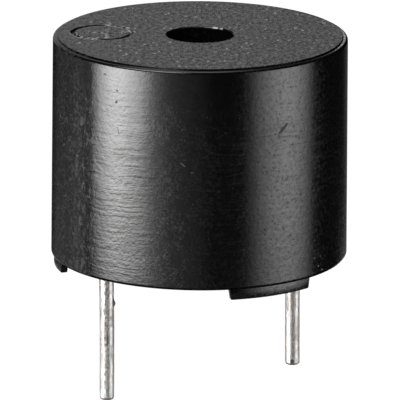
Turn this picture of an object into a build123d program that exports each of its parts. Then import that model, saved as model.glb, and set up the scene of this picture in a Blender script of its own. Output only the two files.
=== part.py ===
"""Piezo buzzer: a black moulded case on three feet, with a self-driving piezo disc inside.

Lengths are in millimetres and angles in degrees. The origin lies on the seating plane under
the feet, midway between the two pins. Z points up through the sound hole, and the longer,
positive pin stands at minus X.
"""

import math
import os

from build123d import *

os.makedirs("parts", exist_ok=True)

# Driving dimensions
case_diameter = 12.0
case_height = 9.5
draft_angle = 0.3
sound_hole_diameter = 2.7
pin_diameter = 0.6
positive_pin_reach = 5.85
negative_pin_reach = 4.3

# Case wall, top and stepped bore
foot_height = 0.44
wall_thickness = 0.7
top_thickness = 1.0
chamber_height = 2.1
board_ledge_width = 0.25
plate_ledge_width = 0.5
top_edge_radius = 0.12
hole_edge_bevel = 0.06
chamber_corner_bevel = 0.4

# Feet under the wall
foot_count = 3
first_foot_angle = 180.0
foot_span_angle = 37.0
foot_inset = 0.11
foot_thickness = 0.3
foot_edge_bevel = 0.05

# Piezo disc
plate_clearance = 0.05
plate_thickness = 0.15
ceramic_share = 0.71
ceramic_thickness = 0.15
electrode_margin = 0.25
electrode_thickness = 0.03
tongue_width = 1.2
tongue_gap = 0.3
tongue_start = 0.9
tongue_angle = 90.0

# Bead of adhesive under the plate's rim
bead_width = 0.7
bead_height = 0.5

# Circuit board and its copper
board_clearance = 0.06
board_thickness = 0.8
board_hole_clearance = 0.06
land_thickness = 0.035
pin_land_diameter = 1.5
pin_land_clearance = 0.5
wire_land_diameter = 0.9
land_overhang = 0.12

# Resin at the open end
potting_recess = 0.3
potting_depth = 1.35
wall_meniscus = 0.18
pin_meniscus = 0.25

# Pins and their solder
pin_tip_bevel = 0.09
pin_tail_share = 0.85
pin_head_bevel = 0.05
pin_stub = 0.15
pin_solder_height = 0.45
pin_solder_margin = 0.08
pin_solder_tip = 0.05

# Transistor
transistor_length = 2.9
transistor_width = 1.3
transistor_body_height = 1.0
transistor_standoff = 0.05
transistor_taper = 7.0
lead_width = 0.4
lead_thickness = 0.12
lead_pitch = 0.95
lead_reach = 0.55
lead_foot_length = 0.3
lead_bend_radius = 0.1

# Chip resistors
chip_length = 1.6
chip_width = 0.8
chip_height = 0.45
cap_length = 0.3
cap_thickness = 0.04
chip_row_share = 0.5
chip_spread_share = 0.3

# Wires and the solder at their ends
wire_diameter = 0.4
wire_rise_share = 0.2
wire_bend_share = 0.45
solder_diameter = 0.7
solder_height = 0.2
plate_land_share = 0.79
inner_land_share = 0.55
plate_wire_angle = -135.0
plate_joint_angle = -124.0
electrode_wire_angle = -50.0
electrode_joint_angle = -52.0
electrode_joint_share = 0.75
feedback_joint_share = 0.72

# Levels above the seating plane
wall_foot_level = foot_height
potting_level = wall_foot_level + potting_recess
board_underside = potting_level + potting_depth
board_top = board_underside + board_thickness
land_top = board_top + land_thickness
ceiling_level = case_height - top_thickness
plate_top = ceiling_level - chamber_height
plate_underside = plate_top - plate_thickness
ceramic_underside = plate_underside - ceramic_thickness
electrode_underside = ceramic_underside - electrode_thickness

# Radii
wall_radius = case_diameter / 2
top_radius = wall_radius - (case_height - wall_foot_level) * math.tan(math.radians(draft_angle))
hole_radius = sound_hole_diameter / 2
board_bore_radius = wall_radius - wall_thickness
plate_bore_radius = board_bore_radius - board_ledge_width
chamber_radius = plate_bore_radius - plate_ledge_width
foot_outer_radius = wall_radius - foot_inset
foot_inner_radius = foot_outer_radius - foot_thickness
foot_step_angle = 360 / foot_count
plate_radius = plate_bore_radius - plate_clearance
ceramic_radius = plate_radius * ceramic_share
electrode_radius = ceramic_radius - electrode_margin
bead_inner_radius = plate_bore_radius - bead_width
board_radius = board_bore_radius - board_clearance
pin_radius = pin_diameter / 2
pin_tail_width = pin_diameter * pin_tail_share
pin_tail_corner = pin_tail_width / math.sqrt(2)
board_hole_radius = pin_tail_corner + board_hole_clearance
pin_land_radius = pin_land_diameter / 2
wire_radius = wire_diameter / 2
solder_radius = solder_diameter / 2
pin_offset = plate_bore_radius - pin_land_radius - pin_land_clearance
pin_places = ((-pin_offset, 0), (pin_offset, 0))


def polar(radius, angle):
    """Returns the point at a radius and an angle from plus X."""
    turn = math.radians(angle)
    return radius * math.cos(turn), radius * math.sin(turn)


def upright(place, level):
    """Returns an upright sketch plane whose origin is at a place and level."""
    return Plane(origin=(place[0], place[1], level), x_dir=(1, 0, 0), z_dir=(0, -1, 0))


def upright_axis(place):
    """Returns the vertical axis through a place."""
    return Axis((place[0], place[1], 0), (0, 0, 1))


# Case: a drafted cup with a stepped bore, turned from one profile, and its feet
with BuildPart() as case:
    with BuildSketch(Plane.XZ) as case_section:
        with BuildLine():
            Polyline(
                (board_bore_radius, wall_foot_level),
                (wall_radius, wall_foot_level),
                (top_radius, case_height),
                (hole_radius, case_height),
                (hole_radius, ceiling_level),
                (chamber_radius, ceiling_level),
                (chamber_radius, plate_top),
                (plate_bore_radius, plate_top),
                (plate_bore_radius, board_top),
                (board_bore_radius, board_top),
                close=True,
            )
        make_face()
        corners = case_section.vertices()
        fillet(corners.sort_by_distance((top_radius, case_height))[0], top_edge_radius)
        corners = case_section.vertices()
        chamfer(corners.sort_by_distance((hole_radius, case_height))[0], hole_edge_bevel)
        corners = case_section.vertices()
        chamfer(corners.sort_by_distance((chamber_radius, ceiling_level))[0], chamber_corner_bevel)
    revolve(axis=Axis.Z)
    with BuildSketch(Plane.XY):
        for foot_index in range(foot_count):
            foot_start = first_foot_angle + foot_index * foot_step_angle - foot_span_angle / 2
            foot_end = foot_start + foot_span_angle
            with BuildLine():
                CenterArc((0, 0), foot_outer_radius, foot_start, foot_span_angle)
                CenterArc((0, 0), foot_inner_radius, foot_start, foot_span_angle)
                Line(polar(foot_inner_radius, foot_start), polar(foot_outer_radius, foot_start))
                Line(polar(foot_inner_radius, foot_end), polar(foot_outer_radius, foot_end))
            make_face()
    extrude(amount=foot_height)
    chamfer(case.faces().sort_by(Axis.Z)[:foot_count].edges(), foot_edge_bevel)

# Piezo disc: brass plate, ceramic, and the two electrodes under it
with BuildPart() as piezo_plate:
    with BuildSketch(Plane.XY.offset(plate_underside)):
        Circle(plate_radius)
    extrude(amount=plate_thickness)

with BuildPart() as piezo_ceramic:
    with BuildSketch(Plane.XY.offset(ceramic_underside)):
        Circle(ceramic_radius)
    extrude(amount=ceramic_thickness)

tongue_end = electrode_radius + tongue_width
tongue_run = tongue_end - tongue_start
slot_width = tongue_width + 2 * tongue_gap
tongue_middle = polar(tongue_start + tongue_run / 2, tongue_angle)

with BuildPart() as main_electrode:
    with BuildSketch(Plane.XY.offset(electrode_underside)):
        Circle(electrode_radius)
        with Locations(tongue_middle):
            SlotCenterToCenter(tongue_run, slot_width, rotation=tongue_angle, mode=Mode.SUBTRACT)
    extrude(amount=electrode_thickness)

with BuildPart() as feedback_electrode:
    with BuildSketch(Plane.XY.offset(electrode_underside)):
        Circle(electrode_radius)
        with Locations(tongue_middle):
            SlotCenterToCenter(tongue_run, tongue_width, rotation=tongue_angle, mode=Mode.INTERSECT)
    extrude(amount=electrode_thickness)

# Adhesive: a bead in the corner between the plate and the bore
with BuildPart() as plate_adhesive:
    with BuildSketch(Plane.XZ):
        with BuildLine():
            Polyline(
                (bead_inner_radius, plate_underside),
                (plate_bore_radius, plate_underside),
                (plate_bore_radius, plate_underside - bead_height),
                close=True,
            )
        make_face()
    revolve(axis=Axis.Z)

# Circuit board with its two pin holes
with BuildPart() as circuit_board:
    with BuildSketch(Plane.XY.offset(board_underside)):
        Circle(board_radius)
        with Locations(*pin_places):
            Circle(board_hole_radius, mode=Mode.SUBTRACT)
    extrude(amount=board_thickness)

# Places of the parts on the board
chip_row = board_radius * chip_row_share
chip_spread = board_radius * chip_spread_share
base_place = (-chip_spread, chip_row)
load_place = (chip_spread, chip_row)
feedback_place = (0, -chip_row)
chip_places = (base_place, load_place, feedback_place)
cap_spacing = chip_length - cap_length
chip_core_length = chip_length - 2 * cap_thickness
chip_core_width = chip_width - 2 * cap_thickness
chip_core_height = chip_height - 2 * cap_thickness
chip_core_level = land_top + cap_thickness
lead_outer_end = transistor_width / 2 + lead_reach
lead_foot_middle = lead_outer_end - lead_foot_length / 2
lead_places = ((-lead_pitch, -1), (lead_pitch, -1), (0, 1))
inner_land_radius = board_radius * inner_land_share
plate_wire_place = polar(board_radius * plate_land_share, plate_wire_angle)
electrode_wire_place = polar(inner_land_radius, electrode_wire_angle)
feedback_wire_place = polar(inner_land_radius, tongue_angle)
wire_places = (plate_wire_place, electrode_wire_place, feedback_wire_place)

# Copper lands
with BuildPart() as copper_lands:
    with BuildSketch(Plane.XY.offset(board_top)):
        with Locations(*pin_places):
            Circle(pin_land_radius)
            Circle(board_hole_radius, mode=Mode.SUBTRACT)
        with Locations(*wire_places):
            Circle(wire_land_diameter / 2)
        with Locations(*chip_places):
            with GridLocations(cap_spacing, chip_width, 2, 1):
                Rectangle(cap_length + 2 * land_overhang, chip_width + 2 * land_overhang)
        for lead_x, lead_side in lead_places:
            with Locations((lead_x, lead_side * lead_foot_middle)):
                Rectangle(lead_width + 2 * land_overhang, lead_foot_length + 2 * land_overhang)
    extrude(amount=land_thickness)

# Transistor: a body tapered both ways from its middle, and three bent leads
transistor_middle = land_top + transistor_standoff + transistor_body_height / 2

with BuildPart() as transistor_body:
    with BuildSketch(Plane.XY.offset(transistor_middle)) as transistor_plan:
        Rectangle(transistor_length, transistor_width)
    extrude(transistor_plan.sketch, amount=transistor_body_height / 2, taper=transistor_taper)
    extrude(transistor_plan.sketch, amount=-transistor_body_height / 2, taper=transistor_taper)

with BuildPart() as transistor_leads:
    lead_foot_level = land_top + lead_thickness / 2
    lead_knee = lead_outer_end - lead_foot_length
    for lead_x, lead_side in lead_places:
        with BuildSketch(Plane.YZ.offset(lead_x)):
            with BuildLine():
                FilletPolyline(
                    (lead_side * transistor_width / 2, transistor_middle),
                    (lead_side * lead_knee, transistor_middle),
                    (lead_side * lead_knee, lead_foot_level),
                    (lead_side * lead_outer_end, lead_foot_level),
                    radius=lead_bend_radius,
                )
            trace(line_width=lead_thickness)
        extrude(amount=lead_width / 2, both=True)


def chip_body(place):
    """Returns one chip resistor's ceramic body, held off the lands by the thickness of its caps."""
    with BuildPart() as body:
        with BuildSketch(Plane.XY.offset(chip_core_level)):
            with Locations(place):
                Rectangle(chip_core_length, chip_core_width)
        extrude(amount=chip_core_height)
    return body


base_resistor = chip_body(base_place)
load_resistor = chip_body(load_place)
feedback_resistor = chip_body(feedback_place)

# End caps: a thin cup over each end of each resistor
with BuildPart() as resistor_caps:
    with BuildSketch(Plane.XY.offset(land_top)):
        with Locations(*chip_places):
            with GridLocations(cap_spacing, chip_width, 2, 1):
                Rectangle(cap_length, chip_width)
    extrude(amount=chip_height)
    with BuildSketch(Plane.XY.offset(chip_core_level)):
        with Locations(*chip_places):
            Rectangle(chip_core_length, chip_core_width)
    extrude(amount=chip_core_height, mode=Mode.SUBTRACT)

# Joints of the wires: on the board, under the plate and under the electrodes
joint_ring_radius = (ceramic_radius + bead_inner_radius) / 2
plate_joint_place = polar(joint_ring_radius, plate_joint_angle)
electrode_joint_place = polar(electrode_radius * electrode_joint_share, electrode_joint_angle)
feedback_joint_place = polar(electrode_radius * feedback_joint_share, tongue_angle)
board_joint_level = land_top + solder_height
plate_joint_level = plate_underside - solder_height
electrode_joint_level = electrode_underside - solder_height
joints = (
    (plate_wire_place, land_top, 1),
    (electrode_wire_place, land_top, 1),
    (feedback_wire_place, land_top, 1),
    (plate_joint_place, plate_underside, -1),
    (electrode_joint_place, electrode_underside, -1),
    (feedback_joint_place, electrode_underside, -1),
)

with BuildPart() as wire_solder:
    for joint_place, joint_level, joint_side in joints:
        with BuildSketch(upright(joint_place, joint_level)):
            with BuildLine():
                Polyline(
                    (wire_radius, joint_side * solder_height),
                    (0, joint_side * solder_height),
                    (0, 0),
                    (solder_radius, 0),
                    close=True,
                )
            make_face()
        revolve(axis=upright_axis(joint_place))


def wire_between(low_place, low_level, high_place, high_level):
    """Returns one wire that rises from a board joint, leans over, and rises into a disc joint."""
    rise = (high_level - low_level) * wire_rise_share
    knee = (*low_place, low_level + rise)
    elbow = (*high_place, high_level - rise)
    lean = math.dist(low_place, high_place)
    climb = high_level - low_level - 2 * rise
    half_turn = math.atan2(lean, climb) / 2
    bend_radius = wire_bend_share * min(rise, math.hypot(lean, climb)) / math.tan(half_turn)
    with BuildPart() as wire:
        with BuildLine() as wire_route:
            FilletPolyline(
                (*low_place, low_level),
                knee,
                elbow,
                (*high_place, high_level),
                radius=bend_radius,
            )
        with BuildSketch(Plane.XY.offset(low_level)):
            with Locations(low_place):
                Circle(wire_radius)
        sweep(path=wire_route.line)
    return wire


plate_wire = wire_between(plate_wire_place, board_joint_level, plate_joint_place, plate_joint_level)
electrode_wire = wire_between(
    electrode_wire_place, board_joint_level, electrode_joint_place, electrode_joint_level
)
feedback_wire = wire_between(
    feedback_wire_place, board_joint_level, feedback_joint_place, electrode_joint_level
)

# Solder of the pins: it rises from the land up the square tail in a cone
pin_solder_top = land_top + pin_solder_height

with BuildPart() as pin_solder:
    for pin_place in pin_places:
        with BuildSketch(upright(pin_place, land_top)):
            with BuildLine():
                Polyline(
                    (0, 0),
                    (pin_land_radius - pin_solder_margin, 0),
                    (pin_tail_corner + pin_solder_tip, pin_solder_height),
                    (0, pin_solder_height),
                    close=True,
                )
            make_face()
        revolve(axis=upright_axis(pin_place))
    with BuildSketch(Plane.XY.offset(land_top)):
        with Locations(*pin_places):
            Rectangle(pin_tail_width, pin_tail_width)
    extrude(amount=pin_solder_height, mode=Mode.SUBTRACT)


def wire_pin(pin_place, reach):
    """Returns one wire pin, round below the resin and pressed square where it is held."""
    with BuildPart() as pin:
        with BuildSketch(Plane.XY.offset(-reach)):
            with Locations(pin_place):
                Circle(pin_radius)
        extrude(amount=potting_level + reach)
        chamfer(pin.faces().sort_by(Axis.Z)[0].edges(), pin_tip_bevel)
        with BuildSketch(Plane.XY.offset(potting_level)):
            with Locations(pin_place):
                Rectangle(pin_tail_width, pin_tail_width)
        extrude(amount=pin_solder_top + pin_stub - potting_level)
        chamfer(pin.faces().sort_by(Axis.Z)[-1].edges(), pin_head_bevel)
    return pin


positive_pin = wire_pin(pin_places[0], positive_pin_reach)
negative_pin = wire_pin(pin_places[1], negative_pin_reach)

# Resin: it fills the open end under the board and creeps a little down the wall and the pins
with BuildPart() as base_potting:
    with BuildSketch(Plane.XZ):
        with BuildLine():
            Polyline(
                (board_bore_radius, potting_level - wall_meniscus),
                (board_bore_radius, board_underside),
                (0, board_underside),
                (0, potting_level),
                (board_bore_radius - wall_meniscus, potting_level),
                close=True,
            )
        make_face()
    revolve(axis=Axis.Z)
    for pin_place in pin_places:
        with BuildSketch(upright(pin_place, potting_level)):
            with BuildLine():
                Polyline(
                    (pin_radius, -pin_meniscus),
                    (0, -pin_meniscus),
                    (0, 0),
                    (pin_radius + pin_meniscus, 0),
                    close=True,
                )
            make_face()
        revolve(axis=upright_axis(pin_place))
    with BuildSketch(Plane.XY.offset(board_underside)):
        with Locations(*pin_places):
            Rectangle(pin_tail_width, pin_tail_width)
    extrude(amount=-potting_depth, mode=Mode.SUBTRACT)
    with BuildSketch(Plane.XY.offset(potting_level)):
        with Locations(*pin_places):
            Circle(pin_radius)
    extrude(amount=-pin_meniscus, mode=Mode.SUBTRACT)

# Each piece goes out under its own name
pieces = {
    "case": case,
    "piezo_plate": piezo_plate,
    "piezo_ceramic": piezo_ceramic,
    "main_electrode": main_electrode,
    "feedback_electrode": feedback_electrode,
    "plate_adhesive": plate_adhesive,
    "circuit_board": circuit_board,
    "copper_lands": copper_lands,
    "transistor_body": transistor_body,
    "transistor_leads": transistor_leads,
    "base_resistor": base_resistor,
    "load_resistor": load_resistor,
    "feedback_resistor": feedback_resistor,
    "resistor_caps": resistor_caps,
    "plate_wire": plate_wire,
    "electrode_wire": electrode_wire,
    "feedback_wire": feedback_wire,
    "wire_solder": wire_solder,
    "pin_solder": pin_solder,
    "positive_pin": positive_pin,
    "negative_pin": negative_pin,
    "base_potting": base_potting,
}
for label, piece in pieces.items():
    piece.part.label = label
    export_step(piece.part, f"parts/{label}.step")
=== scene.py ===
"""Piezo buzzer: its finished meshes, finishes, studio light and camera.

Sizes are in millimetres, and angles in degrees where no docstring says radians. They turn into
metres and radians where a mesh, a light or the camera is made. The frame's origin lies on the
seating plane under the feet, midway between the two pins, and the camera stands on the minus Y side.
"""

import logging
import math
from collections.abc import Mapping, Sequence
from dataclasses import dataclass, field
from enum import Enum

import bmesh
import bpy
import numpy as np
from mathutils import Matrix, Vector


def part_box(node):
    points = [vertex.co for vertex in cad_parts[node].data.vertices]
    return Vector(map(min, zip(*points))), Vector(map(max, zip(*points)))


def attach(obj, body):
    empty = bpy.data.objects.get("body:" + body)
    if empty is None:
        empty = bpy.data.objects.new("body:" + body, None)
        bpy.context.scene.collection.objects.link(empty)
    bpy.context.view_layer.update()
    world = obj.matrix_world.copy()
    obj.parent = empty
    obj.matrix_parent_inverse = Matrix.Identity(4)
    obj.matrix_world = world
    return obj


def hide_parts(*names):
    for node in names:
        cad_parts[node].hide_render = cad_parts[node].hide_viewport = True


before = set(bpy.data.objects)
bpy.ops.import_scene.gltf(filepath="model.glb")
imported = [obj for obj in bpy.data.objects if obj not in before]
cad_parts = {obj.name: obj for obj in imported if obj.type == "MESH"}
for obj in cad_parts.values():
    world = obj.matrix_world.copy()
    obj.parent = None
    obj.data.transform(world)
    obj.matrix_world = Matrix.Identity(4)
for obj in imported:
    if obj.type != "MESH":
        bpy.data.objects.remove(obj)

MM = 0.001
BODY = "root"
NOISE_AVERAGE = 0.5
MARK_EDGE = (1.0, 0.3)
WHITE = (1.0, 1.0, 1.0, 1.0)

Colour = tuple[float, float, float]
Corner = tuple[float, float, float]
Triple = tuple[float, float, float]
Point = tuple[float, float]
Pair = tuple[float, float]
Stop = tuple[float, float]
Wave = tuple[int, float, float, float]

log = logging.getLogger("buzzer")


# Node trees


class Signal:
    """A value socket of a node tree, with Python's operators as its maths."""

    def __init__(self, tree: "TreeBuilder", socket: bpy.types.NodeSocket) -> None:
        """Keeps the tree and the socket that the value comes from."""
        self.tree = tree
        self.socket = socket

    def maths(self, operation: str, *operands: "Signal | float") -> "Signal":
        """Adds one Math node.

        Args:
            operation: the Math node's operation.
            operands: the values of its inputs, in order.

        Returns:
            The node's result.
        """
        made = self.tree.node("ShaderNodeMath", {"operation": operation}, dict(enumerate(operands)))
        return Signal(self.tree, made.outputs[0])

    def __add__(self, other: "Signal | float") -> "Signal":
        """Returns the sum."""
        return self.maths("ADD", self, other)

    def __radd__(self, other: float) -> "Signal":
        """Returns the sum with a number on the left."""
        return self.maths("ADD", other, self)

    def __sub__(self, other: "Signal | float") -> "Signal":
        """Returns the difference."""
        return self.maths("SUBTRACT", self, other)

    def __rsub__(self, other: float) -> "Signal":
        """Returns a number less this value."""
        return self.maths("SUBTRACT", other, self)

    def __mul__(self, other: "Signal | float") -> "Signal":
        """Returns the product."""
        return self.maths("MULTIPLY", self, other)

    def __truediv__(self, other: "Signal | float") -> "Signal":
        """Returns the quotient."""
        return self.maths("DIVIDE", self, other)

    def __rtruediv__(self, other: float) -> "Signal":
        """Returns a number divided by this value."""
        return self.maths("DIVIDE", other, self)

    def __neg__(self) -> "Signal":
        """Returns the value with its sign turned."""
        return self.maths("MULTIPLY", self, -1.0)

    def root(self) -> "Signal":
        """Returns the square root."""
        return self.maths("SQRT", self)

    def sine(self) -> "Signal":
        """Returns the sine of an angle in radians."""
        return self.maths("SINE", self)

    def larger(self, other: "Signal | float") -> "Signal":
        """Returns the larger of two values."""
        return self.maths("MAXIMUM", self, other)

    def between(self, low: float, high: float) -> "Signal":
        """Returns low where this value is 0 and high where it is 1."""
        return self * (high - low) + low

    def centred(self) -> "Signal":
        """Returns how far a noise pattern lies from its average."""
        return self - NOISE_AVERAGE

    def turn_from(self, other: "Signal") -> "Signal":
        """Returns the angle of this value over another, in radians."""
        return self.maths("ARCTAN2", self, other)

    def rise(self, low: float, high: float) -> "Signal":
        """Returns a smooth step from 0 at low to 1 at high.

        Args:
            low: the value where the step starts.
            high: the value where it ends, which may be the lower of the two.

        Returns:
            The step, held to 0 and 1 outside.
        """
        start, end, first, last = (low, high, 0.0, 1.0) if low < high else (high, low, 1.0, 0.0)
        made = self.tree.node(
            "ShaderNodeMapRange",
            {"interpolation_type": "SMOOTHSTEP", "clamp": True},
            {0: self, 1: start, 2: end, 3: first, 4: last},
        )
        return Signal(self.tree, made.outputs[0])


def weigh(signals: Sequence[Signal], shares: Sequence[float]) -> Signal:
    """Returns the sum of signals, each times its share."""
    parts = [signal * share for signal, share in zip(signals, shares)]
    return sum(parts[1:], start=parts[0])


@dataclass(frozen=True)
class Pattern:
    """A noise pattern.

    Fields: how many features there are to a millimetre along each axis, how many finer layers
    lie on top, and how strong those are.
    """

    per_mm: Triple
    detail: float = 2.0
    harshness: float = 0.5


class TreeBuilder:
    """Adds nodes and links to one node tree."""

    def __init__(self, tree: bpy.types.NodeTree) -> None:
        """Keeps the tree to build in."""
        self.tree = tree

    def node(
        self,
        kind: str,
        settings: Mapping[str, object] | None = None,
        sockets: Mapping[str | int, object] | None = None,
    ) -> bpy.types.Node:
        """Adds a node of any type.

        Args:
            kind: the node's type.
            settings: properties, which are set before the sockets.
            sockets: values or links by the name or number of the input.

        Returns:
            The new node.
        """
        made = self.tree.nodes.new(kind)
        for name, value in (settings or {}).items():
            setattr(made, name, value)
        for key, value in (sockets or {}).items():
            source = value.socket if isinstance(value, Signal) else value
            if isinstance(source, bpy.types.NodeSocket):
                self.tree.links.new(source, made.inputs[key])
            else:
                made.inputs[key].default_value = source
        return made


class ShaderTree(TreeBuilder):
    """Builds the node tree of one material."""

    def __init__(self, name: str) -> None:
        """Makes an empty material.

        Args:
            name: the material's name.
        """
        self.material = bpy.data.materials.new(name)
        self.material.use_nodes = True
        self.material.node_tree.nodes.clear()
        super().__init__(self.material.node_tree)

    def place(self) -> bpy.types.NodeSocket:
        """Returns the piece's own coordinates in millimetres."""
        source = self.node("ShaderNodeTexCoord").outputs["Object"]
        scaled = self.node("ShaderNodeVectorMath", {"operation": "SCALE"}, {0: source, "Scale": 1 / MM})
        return scaled.outputs[0]

    def axes(self, place: bpy.types.NodeSocket) -> tuple[Signal, Signal, Signal]:
        """Returns the three coordinates of a place."""
        parts = self.node("ShaderNodeSeparateXYZ", None, {0: place}).outputs
        return Signal(self, parts[0]), Signal(self, parts[1]), Signal(self, parts[2])

    def point(self, x: Signal, y: Signal, z: Signal) -> bpy.types.NodeSocket:
        """Returns the place with three coordinates."""
        return self.node("ShaderNodeCombineXYZ", None, {0: x, 1: y, 2: z}).outputs[0]

    def noise(self, place: bpy.types.NodeSocket, pattern: Pattern) -> Signal:
        """Adds a noise pattern.

        Args:
            place: coordinates in millimetres.
            pattern: its scale and layers.

        Returns:
            The pattern, about 0.5 on average.
        """
        spread = self.node("ShaderNodeVectorMath", {"operation": "MULTIPLY"}, {0: place, 1: pattern.per_mm})
        layers = {"Scale": 1.0, "Detail": pattern.detail, "Roughness": pattern.harshness}
        made = self.node(
            "ShaderNodeTexNoise", {"noise_dimensions": "3D"}, {"Vector": spread.outputs[0], **layers}
        )
        return Signal(self, made.outputs[0])

    def cells(self, place: bpy.types.NodeSocket, per_mm: float) -> Signal:
        """Returns the distance to the nearest of many scattered points, in parts of their spacing."""
        made = self.node("ShaderNodeTexVoronoi", {"feature": "F1"}, {"Vector": place, "Scale": per_mm})
        return Signal(self, made.outputs["Distance"])

    def blend(self, share: Signal, first: object, second: object) -> bpy.types.NodeSocket:
        """Mixes two colours.

        Args:
            share: 0 for the first colour and 1 for the second.
            first: a colour or a link.
            second: a colour or a link.

        Returns:
            The mixed colour.
        """
        ends = [(*end, 1.0) if isinstance(end, tuple) else end for end in (first, second)]
        made = self.node("ShaderNodeMix", {"data_type": "RGBA"}, {0: share, 6: ends[0], 7: ends[1]})
        return made.outputs[2]

    def relief(self, height: Signal, depth: float) -> bpy.types.NodeSocket:
        """Returns the normal of a surface whose height goes from 0 to a depth in millimetres."""
        return self.node("ShaderNodeBump", None, {"Distance": depth * MM, "Height": height}).outputs[0]

    def surface(self, sockets: Mapping[str, object]) -> bpy.types.Material:
        """Ends the tree in a principled surface.

        Args:
            sockets: the surface's inputs by name.

        Returns:
            The finished material.
        """
        body = self.node("ShaderNodeBsdfPrincipled", None, sockets)
        self.node("ShaderNodeOutputMaterial", None, {"Surface": body.outputs[0]})
        return self.material


# Meshes


class MeshDraft:
    """Vertices and faces of one piece in millimetres, gathered before its object is made."""

    def __init__(self) -> None:
        """Starts with nothing."""
        self.points: list[Corner] = []
        self.faces: list[tuple[int, ...]] = []

    def ring(self, points: Sequence[Corner]) -> list[int]:
        """Adds points and returns their numbers.

        Args:
            points: the points in millimetres.

        Returns:
            Their numbers.
        """
        start = len(self.points)
        self.points.extend(points)
        return list(range(start, len(self.points)))

    def bridge(self, first: Sequence[int], second: Sequence[int]) -> None:
        """Joins two closed rings of equal length by quads.

        Args:
            first: the numbers of one ring's points.
            second: those of the other ring's points.
        """
        count = len(first)
        for here in range(count):
            onward = (here + 1) % count
            self.faces.append((first[here], first[onward], second[onward], second[here]))

    def cap(self, ring: Sequence[int], middle: Corner) -> None:
        """Closes a ring by triangles to a middle point.

        Args:
            ring: the numbers of the ring's points.
            middle: the middle point.
        """
        centre = self.ring([middle])[0]
        count = len(ring)
        for here in range(count):
            self.faces.append((ring[here], ring[(here + 1) % count], centre))

    def to_object(self, name: str) -> bpy.types.Object:
        """Makes an object whose faces point outwards.

        Args:
            name: the name of the object and its mesh.

        Returns:
            The object, linked into the scene.
        """
        mesh = bpy.data.meshes.new(name)
        mesh.from_pydata((np.array(self.points, float) * MM).tolist(), [], self.faces)
        face_outwards(mesh)
        made = bpy.data.objects.new(name, mesh)
        bpy.context.scene.collection.objects.link(made)
        return made


def face_outwards(mesh: bpy.types.Mesh) -> None:
    """Turns the faces of a closed mesh outwards.

    Args:
        mesh: the mesh.
    """
    work = bmesh.new()
    work.from_mesh(mesh)
    bmesh.ops.recalc_face_normals(work, faces=work.faces)
    work.to_mesh(mesh)
    work.free()


def smooth(target: bpy.types.Object, crease: float = 30.0) -> None:
    """Shades a piece smooth, with sharp edges where faces meet at more than the crease angle."""
    target.data.shade_smooth()
    target.data.set_sharp_from_angle(angle=math.radians(crease))


def settle(target: bpy.types.Object) -> None:
    """Turns a piece and its modifiers into a plain mesh.

    Args:
        target: the piece.
    """
    evaluated = target.evaluated_get(bpy.context.evaluated_depsgraph_get())
    finished = bpy.data.meshes.new_from_object(evaluated)
    target.modifiers.clear()
    target.data = finished
    finished.name = target.name


def discard(target: bpy.types.Object) -> None:
    """Removes a helper object and its mesh.

    Args:
        target: the helper.
    """
    mesh = target.data
    bpy.data.objects.remove(target)
    bpy.data.meshes.remove(mesh)


def dress(target: bpy.types.Object, material: bpy.types.Material) -> None:
    """Gives a piece its one material."""
    target.data.materials.clear()
    target.data.materials.append(material)


def keep(target: bpy.types.Object, slot: str, *nodes: str) -> None:
    """Ties a finished piece to the frame and reports it.

    Args:
        target: the piece.
        slot: the record's material slot of its finish.
        nodes: the CAD nodes that it stands for.
    """
    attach(target, BODY)
    if nodes:
        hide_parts(*nodes)
    log.info("%s: %d faces, finish %s", target.name, len(target.data.polygons), slot)


def circle(radius: float, level: float, segments: int, centre: Point = (0.0, 0.0)) -> list[Corner]:
    """Returns the points of a level circle.

    Args:
        radius: its radius.
        level: its height.
        segments: how many points it has.
        centre: the middle of the circle.

    Returns:
        The points, anticlockwise from plus X.
    """
    turns = np.linspace(0.0, 2 * math.pi, segments, endpoint=False)
    return [(centre[0] + radius * math.cos(t), centre[1] + radius * math.sin(t), level) for t in turns]


def round_corners(corners: Sequence[Corner], steps: int, margin: float) -> list[Point]:
    """Rounds the corners of a closed outline.

    Args:
        corners: radius from the axis, height, and rounding of each corner.
        steps: how many facets a rounding has.
        margin: how far beside a rounding the flat gets one more point, so that it shades flat.

    Returns:
        The outline's points.
    """
    outline: list[Point] = []
    count = len(corners)
    for here in range(count):
        place = np.array(corners[here][:2])
        rounding = corners[here][2]
        if rounding == 0:
            outline.append((float(place[0]), float(place[1])))
            continue
        before = np.array(corners[here - 1][:2]) - place
        after = np.array(corners[(here + 1) % count][:2]) - place
        before /= np.linalg.norm(before)
        after /= np.linalg.norm(after)
        half = math.acos(float(np.clip(before @ after, -1, 1))) / 2
        run = rounding / math.tan(half)
        middle = place + (before + after) / np.linalg.norm(before + after) * rounding / math.sin(half)
        start = place + before * run - middle
        end = place + after * run - middle
        sweep = math.pi - 2 * half
        arc = [
            middle + (start * math.sin(sweep * (1 - t)) + end * math.sin(sweep * t)) / math.sin(sweep)
            for t in np.linspace(0, 1, steps + 1)
        ]
        arc = [place + before * (run + margin), *arc, place + after * (run + margin)]
        outline.extend((float(p[0]), float(p[1])) for p in arc)
    return outline


def lathe(outline: Sequence[Point], segments: int, centre: Point = (0.0, 0.0)) -> MeshDraft:
    """Turns a closed outline round an upright axis.

    Args:
        outline: radius and height of each point.
        segments: how many facets there are round the axis.
        centre: where the axis stands.

    Returns:
        The closed ring.
    """
    draft = MeshDraft()
    rings = [draft.ring(circle(radius, level, segments, centre)) for radius, level in outline]
    for here in range(len(rings)):
        draft.bridge(rings[here - 1], rings[here])
    return draft


# Finishes


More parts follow.
